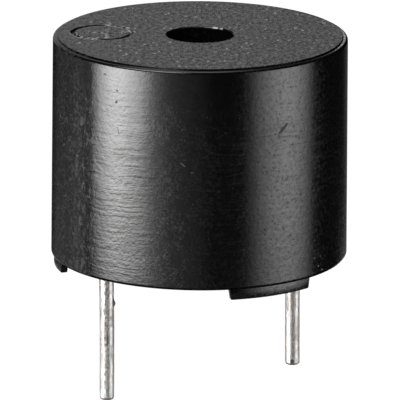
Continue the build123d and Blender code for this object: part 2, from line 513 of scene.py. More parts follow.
@dataclass(frozen=True)
class SurfaceMark:
    """A small mark such as a scratch, pit, speck or painted glint on an unrolled surface.

    Fields: where it lies across and up the surface, its half length and half width, its slope
    from level, and how light it is.
    """

    across: float
    up: float
    half_length: float
    half_width: float
    slope: float
    lightness: float

    def mask(self, across: Signal, up: Signal) -> Signal:
        """Returns 1 inside the mark and 0 outside.

        Args:
            across: the distance across the surface.
            up: the distance up the surface.

        Returns:
            The mask with a soft edge.
        """
        lean = math.radians(self.slope)
        aside = across - self.across
        above = up - self.up
        along = (aside * math.cos(lean) + above * math.sin(lean)) / self.half_length
        beside = (above * math.cos(lean) - aside * math.sin(lean)) / self.half_width
        return (along * along + beside * beside).rise(*MARK_EDGE)


@dataclass(frozen=True)
class Strip:
    """An upright strip of the wall with soft sides.

    Fields: where it starts, is full, stops being full and ends, in radians round from the front.
    """

    start: float
    full: float
    fading: float
    end: float

    def over(self, turn: Signal) -> Signal:
        """Returns 1 inside the strip and 0 outside it."""
        return turn.rise(self.start, self.full) * turn.rise(self.end, self.fading)


class CasePoint:
    """Where a point of the case lies, as signals in the tree of its material."""

    LID_DEPTHS: Pair = (0.03, 0.015)
    MATTE_EDGES: Pair = (0.03, 0.02)
    OUTSIDE_DEPTHS: Pair = (0.3, 0.1)
    BACK_SHARES: Pair = (0.05, 0.6)

    def __init__(self, tree: ShaderTree, radius: float, height: float, matte_reach: Pair) -> None:
        """Works out the point's place and which parts of the case it lies on.

        Args:
            tree: the material's tree.
            radius: the wall's radius.
            height: the level of the top face.
            matte_reach: the inner and outer radius of the matte part of the top face.
        """
        inner, outer = matte_reach
        self.tree = tree
        self.height = height
        self.place = tree.place()
        self.x, self.y, self.z = tree.axes(self.place)
        self.turn = self.x.turn_from(-self.y)
        self.arc = self.turn * radius
        self.share = self.z / height
        reach = (self.x * self.x + self.y * self.y).root()
        self.lid = self.near_top(*self.LID_DEPTHS)
        self.top = self.lid * reach.rise(inner, inner + self.MATTE_EDGES[0])
        self.top = self.top * reach.rise(outer, outer - self.MATTE_EDGES[1])
        self.wall = 1 - self.top
        self.outside = reach.rise(outer - self.OUTSIDE_DEPTHS[0], outer - self.OUTSIDE_DEPTHS[1])
        self.back = self.y.rise(radius * self.BACK_SHARES[0], radius * self.BACK_SHARES[1])

    def noise(self, pattern: Pattern) -> Signal:
        """Returns a noise pattern at the point."""
        return self.tree.noise(self.place, pattern)

    def near_top(self, start: float, full: float) -> Signal:
        """Returns a step from 0 to 1 between two depths below the top face."""
        return self.z.rise(self.height - start, self.height - full)


@dataclass(frozen=True)
class Rubbing:
    """Level ripples and scratches in cloudy areas of the wall, strongest on the left of its front.

    Steps by level are in shares of the case's height, and the handled step is in radians.
    """

    sway: Pattern = Pattern((0.4, 0.4, 0.3))
    sway_reach: float = 0.55
    ripples: Pattern = Pattern((0.28, 0.28, 6.0))
    ripple_depth: float = 0.008
    scratches: Pattern = Pattern((0.45, 0.45, 13.0), 3.0, 0.6)
    scratch_step: Pair = (0.4, 0.7)
    scratch_depth: float = 0.003
    cloud_step: Pair = (0.24, 0.60)
    upper_step: Pair = (0.95, 0.6)
    upper_range: Pair = (0.25, 1.0)
    lower_step: Pair = (0.3, 0.6)
    lower_range: Pair = (0.65, 1.35)
    handled_step: Pair = (0.5, -0.2)
    handled_range: Pair = (0.28, 1.0)
    roughness: float = 0.11

    def over(self, at: CasePoint, clouds: Signal) -> tuple[Signal, Signal]:
        """Works out the rubbing at a point.

        Args:
            at: the point.
            clouds: the pattern of worn areas.

        Returns:
            What it adds to the roughness, and its height in millimetres.
        """
        bent = at.tree.point(at.x, at.y, at.z + at.noise(self.sway) * self.sway_reach)
        ripples = at.tree.noise(bent, self.ripples)
        scratches = at.tree.noise(bent, self.scratches)
        wear = clouds.rise(*self.cloud_step) * at.share.rise(*self.upper_step).between(*self.upper_range)
        wear = wear * at.share.rise(*self.lower_step).between(*self.lower_range)
        handled = (at.turn.rise(*self.handled_step) * (1 - at.back)).between(*self.handled_range)
        height = (ripples * self.ripple_depth + scratches * self.scratch_depth) * wear * handled
        return wear * scratches.rise(*self.scratch_step) * self.roughness, height


@dataclass(frozen=True)
class HazeAndPaintedLight:
    """A thin grey film in blots, painted palest on the left of the wall as painted light on that side, and
    left off a strip at the left edge, which paints a dark line there.

    The step of the painted dark edge is in radians round from the front.
    """

    colour: Colour = (0.005, 0.005, 0.005)
    painted_left_light_colour: Colour = (0.046, 0.046, 0.046)
    grain: Pattern = Pattern((8.0, 8.0, 8.0), 3.0, 0.6)
    grain_step: Pair = (0.42, 0.74)
    cloud_step: Pair = (0.7, 0.35)
    cloud_range: Pair = (0.4, 1.0)
    blot_step: Pair = (0.38, 0.62)
    blot_range: Pair = (0.3, 1.4)
    painted_dark_edge_step: Pair = (-1.37, -1.31)
    roughness: float = 0.06

    def over(self, at: CasePoint, clouds: Signal, blots: Signal) -> Signal:
        """Returns how thickly the film lies at a point.

        Args:
            at: the point.
            clouds: the pattern of worn areas, where the film is thinner.
            blots: the pattern of the film's patches.

        Returns:
            The film's strength.
        """
        film = at.noise(self.grain).rise(*self.grain_step)
        film = film * clouds.rise(*self.cloud_step).between(*self.cloud_range)
        film = film * blots.rise(*self.blot_step).between(*self.blot_range)
        # Leaving the film off a strip at the left edge paints a dark line there.
        return film * at.turn.rise(*self.painted_dark_edge_step).larger(at.back)


@dataclass(frozen=True)
class Pitting:
    """Fine pits and dots that dull the right, the far left and, faintly, the shoulder of the wall.

    The right step is in radians round from the front.
    """

    grain: Pattern = Pattern((7.0, 7.0, 7.0), 5.0, 0.8)
    grain_step: Pair = (0.32, 0.76)
    dots_per_mm: float = 5.0
    dot_step: Pair = (0.34, 0.16)
    dot_share: float = 0.7
    patches: Pattern = Pattern((1.2, 1.2, 1.2))
    patch_step: Pair = (0.4, 0.6)
    right_step: Pair = (0.0, 0.4)
    left_share: float = 2.0
    shoulder_share: float = 0.5
    roughness: float = 0.24

    def over(self, at: CasePoint, left: Signal, shoulder: Signal) -> Signal:
        """Returns how strong the pits are at a point.

        Args:
            at: the point.
            left: the mask of the wall's far left.
            shoulder: the mask of the strip beside the highlight.

        Returns:
            The pits' strength.
        """
        dots = at.tree.cells(at.place, self.dots_per_mm).rise(*self.dot_step)
        dots = dots * at.noise(self.patches).rise(*self.patch_step)
        pits = at.noise(self.grain).rise(*self.grain_step) + dots * self.dot_share
        spread = at.turn.rise(*self.right_step) + left * (self.left_share - at.back)
        return pits * (spread + shoulder * self.shoulder_share)


@dataclass(frozen=True)
class DustAndSheen:
    """Pale dirt and painted sheen: grit, specks and a fringe on the wall, bits on the top face and chalk in
    its sign. Parts of the fringe and of the sign are painted highlights in the same pale colour.

    Steps by level are in shares of the case's height, and the specks' sides are in radians.
    """

    colour: Colour = (0.42, 0.415, 0.40)
    grit_per_mm: float = 2.1
    grit_step: Pair = (0.06, 0.02)
    grit_share: float = 0.15
    speck_strip: Strip = Strip(-0.50, -0.28, -0.08, 0.38)
    speck_levels: Pair = (1.0, 0.7)
    speck_step: Pair = (0.46, 0.66)
    speck_sides: Pair = (-0.05, -0.22)
    speck_range: Pair = (0.035, 0.11)
    blot_step: Pair = (0.36, 0.60)
    blot_range: Pair = (0.2, 1.0)
    fringe_strip: Strip = Strip(-1.04, -0.94, -0.82, -0.70)
    fringe_levels: Pair = (0.96, 0.7)
    fringe: Pattern = Pattern((6.0, 6.0, 3.5), 4.0, 0.7)
    fringe_step: Pair = (0.49, 0.68)
    fringe_share: float = 0.15
    bits_per_mm: float = 3.2
    bit_step: Pair = (0.26, 0.10)
    bit_share: float = 0.42
    patches: Pattern = Pattern((1.7, 1.7, 1.7))
    patch_step: Pair = (0.40, 0.62)
    chalk_and_sheen: Pattern = Pattern((9.0, 9.0, 9.0))
    chalk_and_sheen_step: Pair = (0.40, 0.62)
    chalk_and_sheen_depths: Pair = (0.12, 0.10)
    chalk_and_sheen_share: float = 0.7
    ring_edge: Pair = (0.03, 0.01)
    lit_quarter_step: Pair = (0.0, 0.25)
    level_arm_edge: Pair = (0.03, 0.01)
    upright_arm_edge: Pair = (0.02, 0.005)
    arm_fade: float = 0.8
    arm_share: float = 0.6

    def grit(self, at: CasePoint) -> Signal:
        """Returns the scattered grit on the outside of the wall."""
        grit = at.tree.cells(at.place, self.grit_per_mm).rise(*self.grit_step)
        return grit * at.outside * at.wall * self.grit_share

    def on_wall(self, at: CasePoint, pepper: Signal, blots: Signal) -> Signal:
        """Returns pale specks beside the wall's highlight, and a fringe at its left edge that is partly
        specks and partly a painted highlight softening that edge.

        Args:
            at: the point.
            pepper: the pattern of the specks.
            blots: the pattern of their patches.

        Returns:
            The dust's strength.
        """
        strip = self.speck_strip.over(at.turn) * at.share.rise(*self.speck_levels)
        specks = pepper.rise(*self.speck_step) * blots.rise(*self.blot_step).between(*self.blot_range)
        specks = specks * strip * at.turn.rise(*self.speck_sides).between(*self.speck_range)
        # The fringe is partly painted highlight: it lightens and softens the left edge of the reflected
        # highlight.
        fringe = at.noise(self.fringe).rise(*self.fringe_step) * self.fringe_strip.over(at.turn)
        return specks + fringe * at.share.rise(*self.fringe_levels) * self.fringe_share

    def on_top(self, at: CasePoint, drawn_out: bpy.types.NodeSocket, sign: "PolarityMark") -> Signal:
        """Returns the pale bits on the top face, and the pale filling and painted sheen in its sign.

        Args:
            at: the point.
            drawn_out: its place, drawn out along Y.
            sign: the sign.

        Returns:
            The strength of both.
        """
        bits = at.tree.cells(drawn_out, self.bits_per_mm).rise(*self.bit_step)
        bits = bits * at.noise(self.patches).rise(*self.patch_step)
        chalk_and_sheen = at.tree.noise(drawn_out, self.chalk_and_sheen).rise(*self.chalk_and_sheen_step) * self.chalk_and_sheen_in_sign(at, sign)
        chalk_and_sheen = chalk_and_sheen * at.near_top(*self.chalk_and_sheen_depths)
        return bits * at.top * self.bit_share + chalk_and_sheen * self.chalk_and_sheen_share

    def chalk_and_sheen_in_sign(self, at: CasePoint, sign: "PolarityMark") -> Signal:
        """Returns where the sign is pale: along the plus, and on the two quarters of the ring whose groove
        walls face the light, where the paleness is a painted highlight.

        Args:
            at: the point.
            sign: the sign.

        Returns:
            The share with a soft edge.
        """
        across = at.x - sign.ring_centre[0]
        along = at.y - sign.ring_centre[1]
        off_ring = (across * across + along * along).root() - sign.ring_radius
        # Painted highlight: only the two ring quarters whose groove walls face the light are made pale.
        ring = (off_ring * off_ring).rise(*self.ring_edge) * (across * along).rise(*self.lit_quarter_step)
        aside = at.x - sign.plus_centre[0]
        above = at.y - sign.plus_centre[1]
        reach = sign.arm_reach**2
        ends = (reach, reach * self.arm_fade)
        level_arm = (above * above).rise(*self.level_arm_edge) * (aside * aside).rise(*ends)
        upright_arm = (aside * aside).rise(*self.upright_arm_edge) * (above * above).rise(*ends)
        return ring.larger(level_arm.larger(upright_arm) * self.arm_share)


@dataclass(frozen=True)
class CasePlastic:
    """Black moulded plastic: a glossy rubbed wall and rim, and a matte grained top face.

    The left step is in radians round from the front. The wall's marks lie across by the distance
    round the wall from the front, and up by their level. The top face's marks lie across along X and
    up along Y. Some of the pale colour is painted light. A glint on the sound hole's rim, a sheen on two
    quarters of the sign's ring and a fringe at the left edge of the wall's highlight are painted
    highlights. The film is painted paler on the wall's front left, and it is left off a strip at the
    wall's left edge, which paints a dark line there.
    """

    wall_colour: Colour = (0.0018, 0.0018, 0.0020)
    top_colour: Colour = (0.006, 0.006, 0.006)
    top_pale_colour: Colour = (0.076, 0.076, 0.076)
    rubbing: Rubbing = Rubbing()
    haze_and_painted_light: HazeAndPaintedLight = HazeAndPaintedLight()
    pitting: Pitting = Pitting()
    dust_and_sheen: DustAndSheen = DustAndSheen()
    clouds: Pattern = Pattern((0.55, 0.55, 0.35), 3.0, 0.55)
    blots: Pattern = Pattern((2.2, 2.2, 1.4), 4.0, 0.65)
    peel: Pattern = Pattern((6.0, 6.0, 6.0), 3.0, 0.65)
    peel_roughness: float = 0.12
    peel_depth: float = 0.006
    pepper: Pattern = Pattern((9.0, 9.0, 10.0), 4.0, 0.75)
    pepper_share: float = 0.9
    shoulder: Strip = Strip(-0.48, -0.30, -0.10, 0.02)
    left_step: Pair = (-0.8, -1.0)
    grain: Pattern = Pattern((6.0, 6.0, 6.0), 3.0, 0.6)
    grain_stretch: float = 0.55
    grain_step: Pair = (0.33, 0.70)
    grain_roughness: float = 0.4
    grain_depth: float = 0.11
    wall_roughness: float = 0.10
    top_roughness: float = 0.52
    most_polish: float = 0.04
    refraction: float = 1.5
    mark_wobble: float = 0.16
    mark_share: float = 0.5
    mark_roughness: float = 0.35
    edge_depths: Pair = (0.08, 0.04)
    edge_step: Pair = (0.34, 0.44)
    wall_marks: tuple[SurfaceMark, ...] = (
        SurfaceMark(-3.44, 6.75, 0.18, 0.03, -75.0, 0.5),
        SurfaceMark(-4.13, 8.97, 0.05, 0.06, 60.0, 0.0),
        SurfaceMark(-3.50, 8.40, 0.06, 0.05, 0.0, 0.0),
        SurfaceMark(-3.55, 7.94, 0.09, 0.05, 40.0, 0.0),
        SurfaceMark(-5.44, 6.80, 0.24, 0.17, 60.0, 0.13),
        SurfaceMark(-0.67, 5.63, 0.20, 0.025, -35.0, 0.4),
        SurfaceMark(-0.29, 5.32, 0.04, 0.04, 0.0, 0.5),
        SurfaceMark(-1.29, 4.97, 0.20, 0.12, 0.0, 0.08),
        SurfaceMark(3.55, 6.90, 0.36, 0.08, 42.0, 0.1),
        SurfaceMark(5.57, 0.85, 0.06, 0.05, 0.0, 0.8),
        SurfaceMark(5.84, 0.65, 0.06, 0.05, 0.0, 0.8),
        SurfaceMark(5.71, 1.24, 0.05, 0.05, 0.0, 0.6),
        SurfaceMark(5.31, 1.24, 0.05, 0.05, 0.0, 0.6),
        SurfaceMark(-4.26, 1.36, 0.05, 0.05, 0.0, 0.7),
        SurfaceMark(-2.70, 1.59, 0.05, 0.05, 0.0, 0.7),
        SurfaceMark(-2.25, 1.59, 0.05, 0.05, 0.0, 0.7),
    )
    top_marks_and_painted_glint: tuple[SurfaceMark, ...] = (
        # The first two marks sit on the sound hole's back rim and paint its glint as pale spots; the last
        # two are faint pale marks in front of the sign.
        SurfaceMark(0.60, 1.22, 0.15, 0.09, -25.0, 2.0),
        SurfaceMark(0.84, 1.08, 0.10, 0.07, -38.0, 1.6),
        SurfaceMark(-3.05, -2.22, 0.22, 0.05, -8.0, 0.2),
        SurfaceMark(-2.70, -2.28, 0.20, 0.05, 10.0, 0.2),
    )

    def make(
        self, radius: float, height: float, matte_reach: Pair, sign: "PolarityMark"
    ) -> bpy.types.Material:
        """Builds the material.

        Args:
            radius: the wall's radius.
            height: the level of the top face.
            matte_reach: the inner and outer radius of the matte part of the top face.
            sign: the sign in the top face, which holds some dust.

        Returns:
            The material.
        """
        tree = ShaderTree("case_plastic")
        at = CasePoint(tree, radius, height, matte_reach)
        clouds = at.noise(self.clouds)
        blots = at.noise(self.blots)
        peel = at.noise(self.peel)
        pepper = at.noise(self.pepper)
        drawn_out = tree.point(at.x, at.y * self.grain_stretch, at.z)
        grain = tree.noise(drawn_out, self.grain)
        left = at.turn.rise(*self.left_step)
        shoulder = self.shoulder.over(at.turn)
        film = self.haze_and_painted_light.over(at, clouds, blots)
        rub_roughness, rub_height = self.rubbing.over(at, clouds)
        pits = self.pitting.over(at, left, shoulder)

        # Pale colour over the plastic: grit, specks and marks, with painted highlights among them (the
        # fringe at the edge of the wall's highlight, the sheen in the sign and the glint on the hole's rim).
        dull = self.dust_and_sheen.grit(at)
        light = dull + self.dust_and_sheen.on_wall(at, pepper, blots) + self.dust_and_sheen.on_top(at, drawn_out, sign)
        across = at.arc + peel.centred() * self.mark_wobble
        up = at.z + blots.centred() * self.mark_wobble
        for mark in self.wall_marks:
            spot = mark.mask(across, up) * (1 - at.lid)
            light = light + spot * (mark.lightness * self.mark_share)
            dull = dull.larger(spot)
        edge = at.near_top(*self.edge_depths) * grain.rise(*self.edge_step)
        # Pale marks on the top face. The first two are a painted glint on the sound hole's rim.
        for mark in self.top_marks_and_painted_glint:
            light = light + mark.mask(at.x, at.y) * edge * (mark.lightness * self.mark_share)

        top_shade = tree.blend(grain.rise(*self.grain_step), self.top_colour, self.top_pale_colour)
        # The film is painted paler on the wall's front left: painted light on the lit side.
        haze_and_painted_light = tree.blend(left * (1 - at.back), self.haze_and_painted_light.colour, self.haze_and_painted_light.painted_left_light_colour)
        wall_shade = tree.blend(film * at.outside, self.wall_colour, haze_and_painted_light)
        shade = tree.blend(light, tree.blend(at.top, wall_shade, top_shade), self.dust_and_sheen.colour)
        rubbed = rub_roughness + film * self.haze_and_painted_light.roughness + pits * self.pitting.roughness
        rubbed = rubbed + peel.centred() * self.peel_roughness
        wall_roughness = self.wall_roughness + rubbed.larger(-self.most_polish) + dull * self.mark_roughness
        top_roughness = self.top_roughness + grain.centred() * self.grain_roughness
        wall_height = rub_height + (peel + pepper * shoulder * self.pepper_share) * self.peel_depth
        depth = (wall_height * at.wall + grain * self.grain_depth * at.top) / self.grain_depth
        return tree.surface(
            {
                "Base Color": shade,
                "Roughness": wall_roughness * at.wall + top_roughness * at.top,
                "IOR": self.refraction,
                "Normal": tree.relief(depth, self.grain_depth),
            }
        )


@dataclass(frozen=True)
class WireMark:
    """A dark mark along a wire: how far right of the middle it lies, its level and its half sizes."""

    across: float
    level: float
    half_width: float
    half_length: float

    def mask(self, across: Signal, level: Signal) -> Signal:
        """Returns 1 inside the mark and 0 outside.

        Args:
            across: the distance right of the wire's middle.
            level: the level.

        Returns:
            The mask with a soft edge.
        """
        aside = (across - self.across) / self.half_width
        along = (level - self.level) / self.half_length
        return (aside * aside + along * along).rise(*MARK_EDGE)


@dataclass(frozen=True)
class TinnedWire:
    """Drawn wire dipped in tin: stained, with dark flecks along its middle that are partly dirt and partly a
    painted dark reflection, and bare copper at the cut end.
    """

    marks: tuple[WireMark, ...]
    grime_and_shade_across: float
    grime_and_shade_share: float = 0.7
    grime_and_shade_reach: float = 0.14
    grime_and_shade_step: Pair = (0.46, 0.62)
    grime_and_shade_edge: Pair = (1.0, 0.2)
    bright: Colour = (0.92, 0.905, 0.89)
    stain: Colour = (0.66, 0.60, 0.56)
    stain_step: Pair = (0.47, 0.60)
    stain_shares: Triple = (0.45, 0.3, 0.25)
    cut_end: Colour = (0.52, 0.36, 0.29)
    cut_heights: Pair = (0.16, 0.02)
    cut_share: float = 0.7
    dark: Colour = (0.10, 0.085, 0.08)
    mark_share: float = 0.8
    drawn: Pattern = Pattern((6.0, 6.0, 0.9), 3.0, 0.6)
    mottle: Pattern = Pattern((4.5, 4.5, 2.6), 4.0, 0.65)
    flecks: Pattern = Pattern((9.0, 9.0, 7.0), 4.0, 0.75)
    dull_step: Pair = (0.40, 0.62)
    metal_range: Pair = (0.94, 0.68)
    roughness: float = 0.37
    stain_roughness: float = 0.2
    mottle_roughness: float = 0.08
    dent_shares: Triple = (0.3, 0.25, 0.45)
    dent_depth: float = 0.03

    def make(self, name: str, middle: float, tip_level: float) -> bpy.types.Material:
        """Builds the material.

        Args:
            name: the material's name.
            middle: where the wire stands along X.
            tip_level: the level of the wire's free end.

        Returns:
            The material.
        """
        tree = ShaderTree(name)
        place = tree.place()
        x, _, z = tree.axes(place)
        across = x - middle
        patterns = [tree.noise(place, pattern) for pattern in (self.drawn, self.mottle, self.flecks)]
        _, mottle, flecks = patterns
        stained = weigh(patterns, self.stain_shares).rise(*self.stain_step)
        # Dark flecks in a strip down the wire's middle: partly dirt, partly painted shade where the middle
        # reflects the dark front.
        aside = (across - self.grime_and_shade_across) / self.grime_and_shade_reach
        grime_and_shade = flecks.rise(*self.grime_and_shade_step) * (aside * aside).rise(*self.grime_and_shade_edge)
        tip = z.rise(tip_level + self.cut_heights[0], tip_level + self.cut_heights[1])
        shade = tree.blend(stained, self.bright, self.stain)
        shade = tree.blend(grime_and_shade * self.grime_and_shade_share, shade, self.dark)
        shade = tree.blend(tip * self.cut_share, shade, self.cut_end)
        for mark in self.marks:
            shade = tree.blend(mark.mask(across, z) * self.mark_share, shade, self.dark)
        dullness = stained * self.stain_roughness + mottle * self.mottle_roughness
        return tree.surface(
            {
                "Base Color": shade,
                "Metallic": flecks.rise(*self.dull_step).between(*self.metal_range),
                "Roughness": self.roughness + dullness,
                "Normal": tree.relief(weigh(patterns, self.dent_shares), self.dent_depth),
            }
        )


class Grain(Enum):
    """How the fine pattern of a hidden piece's surface runs."""

    SPECKLED = (9.0, 9.0, 9.0)
    ROLLED = (0.6, 14.0, 9.0)
    FLOWED = (1.4, 1.4, 1.4)
    WOVEN = (2.4, 2.4, 2.4)


@dataclass(frozen=True)
class PlainFinish:
    """A finish with a fine pattern in its colour, gloss and height."""

    name: str
    colour: Colour
    shade: Colour
    roughness: float
    grain: Grain
    metallic: float = 0.0
    depth: float = 0.006
    detail: float = 3.0
    harshness: float = 0.6
    shade_step: Pair = (0.35, 0.65)
    gloss_spread: float = 0.25
    weave_rate: float = 14.0
    weave_share: float = 0.25
    weave_range: Pair = (0.25, 0.75)

    def make(self) -> bpy.types.Material:
        """Builds the material."""
        tree = ShaderTree(self.name)
        place = tree.place()
        pattern = tree.noise(place, Pattern(self.grain.value, self.detail, self.harshness))
        if self.grain is Grain.WOVEN:
            x, y, _ = tree.axes(place)
            weave = (x * self.weave_rate).sine() * (y * self.weave_rate).sine()
            pattern = pattern.between(*self.weave_range) + weave * self.weave_share
        return tree.surface(
            {
                "Base Color": tree.blend(pattern.rise(*self.shade_step), self.colour, self.shade),
                "Metallic": self.metallic,
                "Roughness": self.roughness + pattern.centred() * self.gloss_spread,
                "Normal": tree.relief(pattern, self.depth),
            }
        )


BRASS_SHEET = PlainFinish("brass_sheet", (0.72, 0.52, 0.22), (0.62, 0.43, 0.18), 0.3, Grain.ROLLED, 1.0)
FIRED_CERAMIC = PlainFinish("fired_ceramic", (0.50, 0.43, 0.32), (0.42, 0.36, 0.27), 0.6, Grain.SPECKLED)
BURNT_SILVER = PlainFinish("burnt_silver", (0.83, 0.82, 0.78), (0.70, 0.69, 0.65), 0.45, Grain.SPECKLED, 1.0)
WHITE_SILICONE = PlainFinish(
    "white_silicone", (0.80, 0.80, 0.77), (0.70, 0.70, 0.67), 0.4, Grain.FLOWED, depth=0.03
)
GREEN_BOARD = PlainFinish(
    "green_board", (0.035, 0.17, 0.08), (0.05, 0.23, 0.11), 0.35, Grain.WOVEN, depth=0.01
)
COPPER_FOIL = PlainFinish("copper_foil", (0.76, 0.42, 0.25), (0.66, 0.34, 0.19), 0.32, Grain.ROLLED, 1.0)
MOULDED_BLACK = PlainFinish("moulded_black", (0.022, 0.022, 0.024), (0.03, 0.03, 0.03), 0.55, Grain.SPECKLED)
DULL_TIN = PlainFinish("dull_tin", (0.72, 0.71, 0.69), (0.58, 0.57, 0.55), 0.4, Grain.SPECKLED, 1.0)
CHIP_GLAZE = PlainFinish("chip_glaze", (0.03, 0.03, 0.034), (0.05, 0.05, 0.055), 0.3, Grain.SPECKLED)
BLACK_SLEEVE = PlainFinish("black_sleeve", (0.02, 0.02, 0.02), (0.03, 0.03, 0.03), 0.4, Grain.FLOWED)
RED_SLEEVE = PlainFinish("red_sleeve", (0.52, 0.03, 0.02), (0.44, 0.025, 0.018), 0.4, Grain.FLOWED)
BLUE_SLEEVE = PlainFinish("blue_sleeve", (0.03, 0.10, 0.44), (0.025, 0.08, 0.36), 0.4, Grain.FLOWED)
BRIGHT_SOLDER = PlainFinish(
    "bright_solder", (0.76, 0.76, 0.74), (0.62, 0.62, 0.60), 0.22, Grain.FLOWED, 1.0, depth=0.02
)
CAST_RESIN = PlainFinish(
    "cast_resin", (0.006, 0.006, 0.0065), (0.011, 0.011, 0.011), 0.2, Grain.FLOWED, depth=0.02
)


# The buzzer


@dataclass
class PolarityMark:
    """The circled plus sign sunk into the top face over the positive pin."""

    ring_centre: Point = (-3.97, 0.27)
    plus_centre: Point = (-3.80, 0.15)
    ring_radius: float = 1.19
    groove_width: float = 0.20
    arm_reach: float = 0.90
    arm_width: float = 0.22
    ring_depth: float = 0.09
    plus_depth: float = 0.03
    draft: float = 0.04
    proud: float = 0.05
    segments: int = 160

    def cutters(self, level: float) -> list[bpy.types.Object]:
        """Makes the two bodies that sink the sign.

        Args:
            level: the height of the top face.

        Returns:
            The ring cutter and the plus cutter.
        """
        floor_level = level - self.ring_depth
        head_level = level + self.proud
        half_top = self.groove_width / 2 + self.draft * self.proud / self.ring_depth
        half_floor = self.groove_width / 2 - self.draft
        section = [
            (self.ring_radius - half_floor, floor_level),
            (self.ring_radius + half_floor, floor_level),
            (self.ring_radius + half_top, head_level),
            (self.ring_radius - half_top, head_level),
        ]
        ring = lathe(section, self.segments, self.ring_centre).to_object("ring_cutter")
        draft = MeshDraft()
        low = draft.ring(self.plus_outline(-self.draft, level - self.plus_depth))
        high = draft.ring(self.plus_outline(self.draft * self.proud / self.plus_depth, head_level))
        draft.bridge(low, high)
        draft.faces.append(tuple(reversed(low)))
        draft.faces.append(tuple(high))
        return [ring, draft.to_object("plus_cutter")]

    def plus_outline(self, growth: float, level: float) -> list[Corner]:
        """Returns the twelve corners of the plus, grown by a margin, at a level.

        Args:
            growth: the margin.
            level: the level.

        Returns:
            The corners in order.
        """
        reach = self.arm_reach + growth
        half = self.arm_width / 2 + growth
        arm = [(reach, -half), (reach, half), (half, half)]
        corners: list[Corner] = []
        for quarter in range(4):
            turn = Matrix.Rotation(math.pi / 2 * quarter, 2)
            for corner in arm:
                spot = turn @ Vector(corner)
                corners.append((self.plus_centre[0] + spot.x, self.plus_centre[1] + spot.y, level))
        return corners


@dataclass
class CaseShell:
    """The moulded cup: drafted wall, rounded rim below the proud top face, sound hole and stepped bore."""

    outer_radius: float
    height: float
    resin_bore: float
    plate_bore: float
    board_level: float
    plate_level: float
    wall_foot_level: float = 0.44
    draft_angle: float = 0.3
    hole_radius: float = 1.35
    top_thickness: float = 1.0
    chamber_ledge: float = 0.5
    chamber_bevel: float = 0.4
    resin_recess: float = 0.3
    rim_rounding: float = 0.11
    land_width: float = 0.07
    land_slope: float = 0.008
    step_height: float = 0.06
    step_run: float = 0.02
    hole_rounding: float = 0.06
    foot_rounding: float = 0.12
    inner_rounding: float = 0.02
    top_margin: float = 0.05
    flat_margin: float = 0.02
    rounding_steps: int = 7
    segments: int = 384
    mark: PolarityMark = field(default_factory=PolarityMark)

    @classmethod
    def from_frame(cls) -> "CaseShell":
        """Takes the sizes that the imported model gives."""
        case_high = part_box("case")[1] / MM
        return cls(
            outer_radius=case_high.x,
            height=case_high.z,
            resin_bore=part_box("base_potting")[1].x / MM,
            plate_bore=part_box("plate_adhesive")[1].x / MM,
            board_level=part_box("circuit_board")[1].z / MM,
            plate_level=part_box("piezo_plate")[1].z / MM,
        )

    @property
    def top_radius(self) -> float:
        """The radius of the drafted wall at the level of the top face."""
        slope = math.tan(math.radians(self.draft_angle))
        return self.outer_radius - (self.height - self.wall_foot_level) * slope

    @property
    def resin_level(self) -> float:
        """The level of the resin's open face."""
        return self.wall_foot_level + self.resin_recess

    @property
    def matte_reach(self) -> Pair:
        """The inner and outer radius of the matte part of the top face."""
        return self.hole_radius + self.hole_rounding / 2, self.land_radius - self.step_run

    @property
    def land_radius(self) -> float:
        """The inner radius of the glossy land round the top face."""
        return self.top_radius - self.rim_rounding - self.land_width

    def outline(self) -> list[Point]:
        """Returns the section of the cup, from the foot of the wall over the top and back inside."""
        ceiling = self.height - self.top_thickness
        chamber = self.plate_bore - self.chamber_ledge
        inner = self.inner_rounding
        land_level = self.height - self.step_height
        step_radius = self.land_radius - self.step_run
        corners = [
            (self.outer_radius, self.wall_foot_level, self.foot_rounding),
            (self.top_radius, land_level - self.land_slope, self.rim_rounding),
            (self.land_radius, land_level, 0.0),
            (step_radius, self.height, 0.0),
            (step_radius - self.top_margin, self.height, 0.0),
            (self.hole_radius, self.height, self.hole_rounding),
            (self.hole_radius, ceiling, inner),
            (chamber - self.chamber_bevel, ceiling, 0.0),
            (chamber, ceiling - self.chamber_bevel, 0.0),
            (chamber, self.plate_level, inner),
            (self.plate_bore, self.plate_level, inner),
            (self.plate_bore, self.board_level, inner),
            (self.resin_bore, self.board_level, inner),
            (self.resin_bore, self.wall_foot_level, inner),
        ]
        return round_corners(corners, self.rounding_steps, self.flat_margin)

    def build(self) -> bpy.types.Object:
        """Turns the cup and sinks the polarity sign into its top face."""
        shell = lathe(self.outline(), self.segments).to_object("case_shell")
        cutters = self.mark.cutters(self.height)
        for cutter in cutters:
            cut = shell.modifiers.new(cutter.name, "BOOLEAN")
            cut.operation = "DIFFERENCE"
            cut.solver = "EXACT"
            cut.object = cutter
        settle(shell)
        for cutter in cutters:
            discard(cutter)
        smooth(shell)
        return shell

    def finish(self, plastic: bpy.types.Material) -> None:
        """Builds the cup, dresses it and ties it to the frame.

        Args:
            plastic: the case's material.
        """
        shell = self.build()
        dress(shell, plastic)
        keep(shell, "case_plastic", "case")


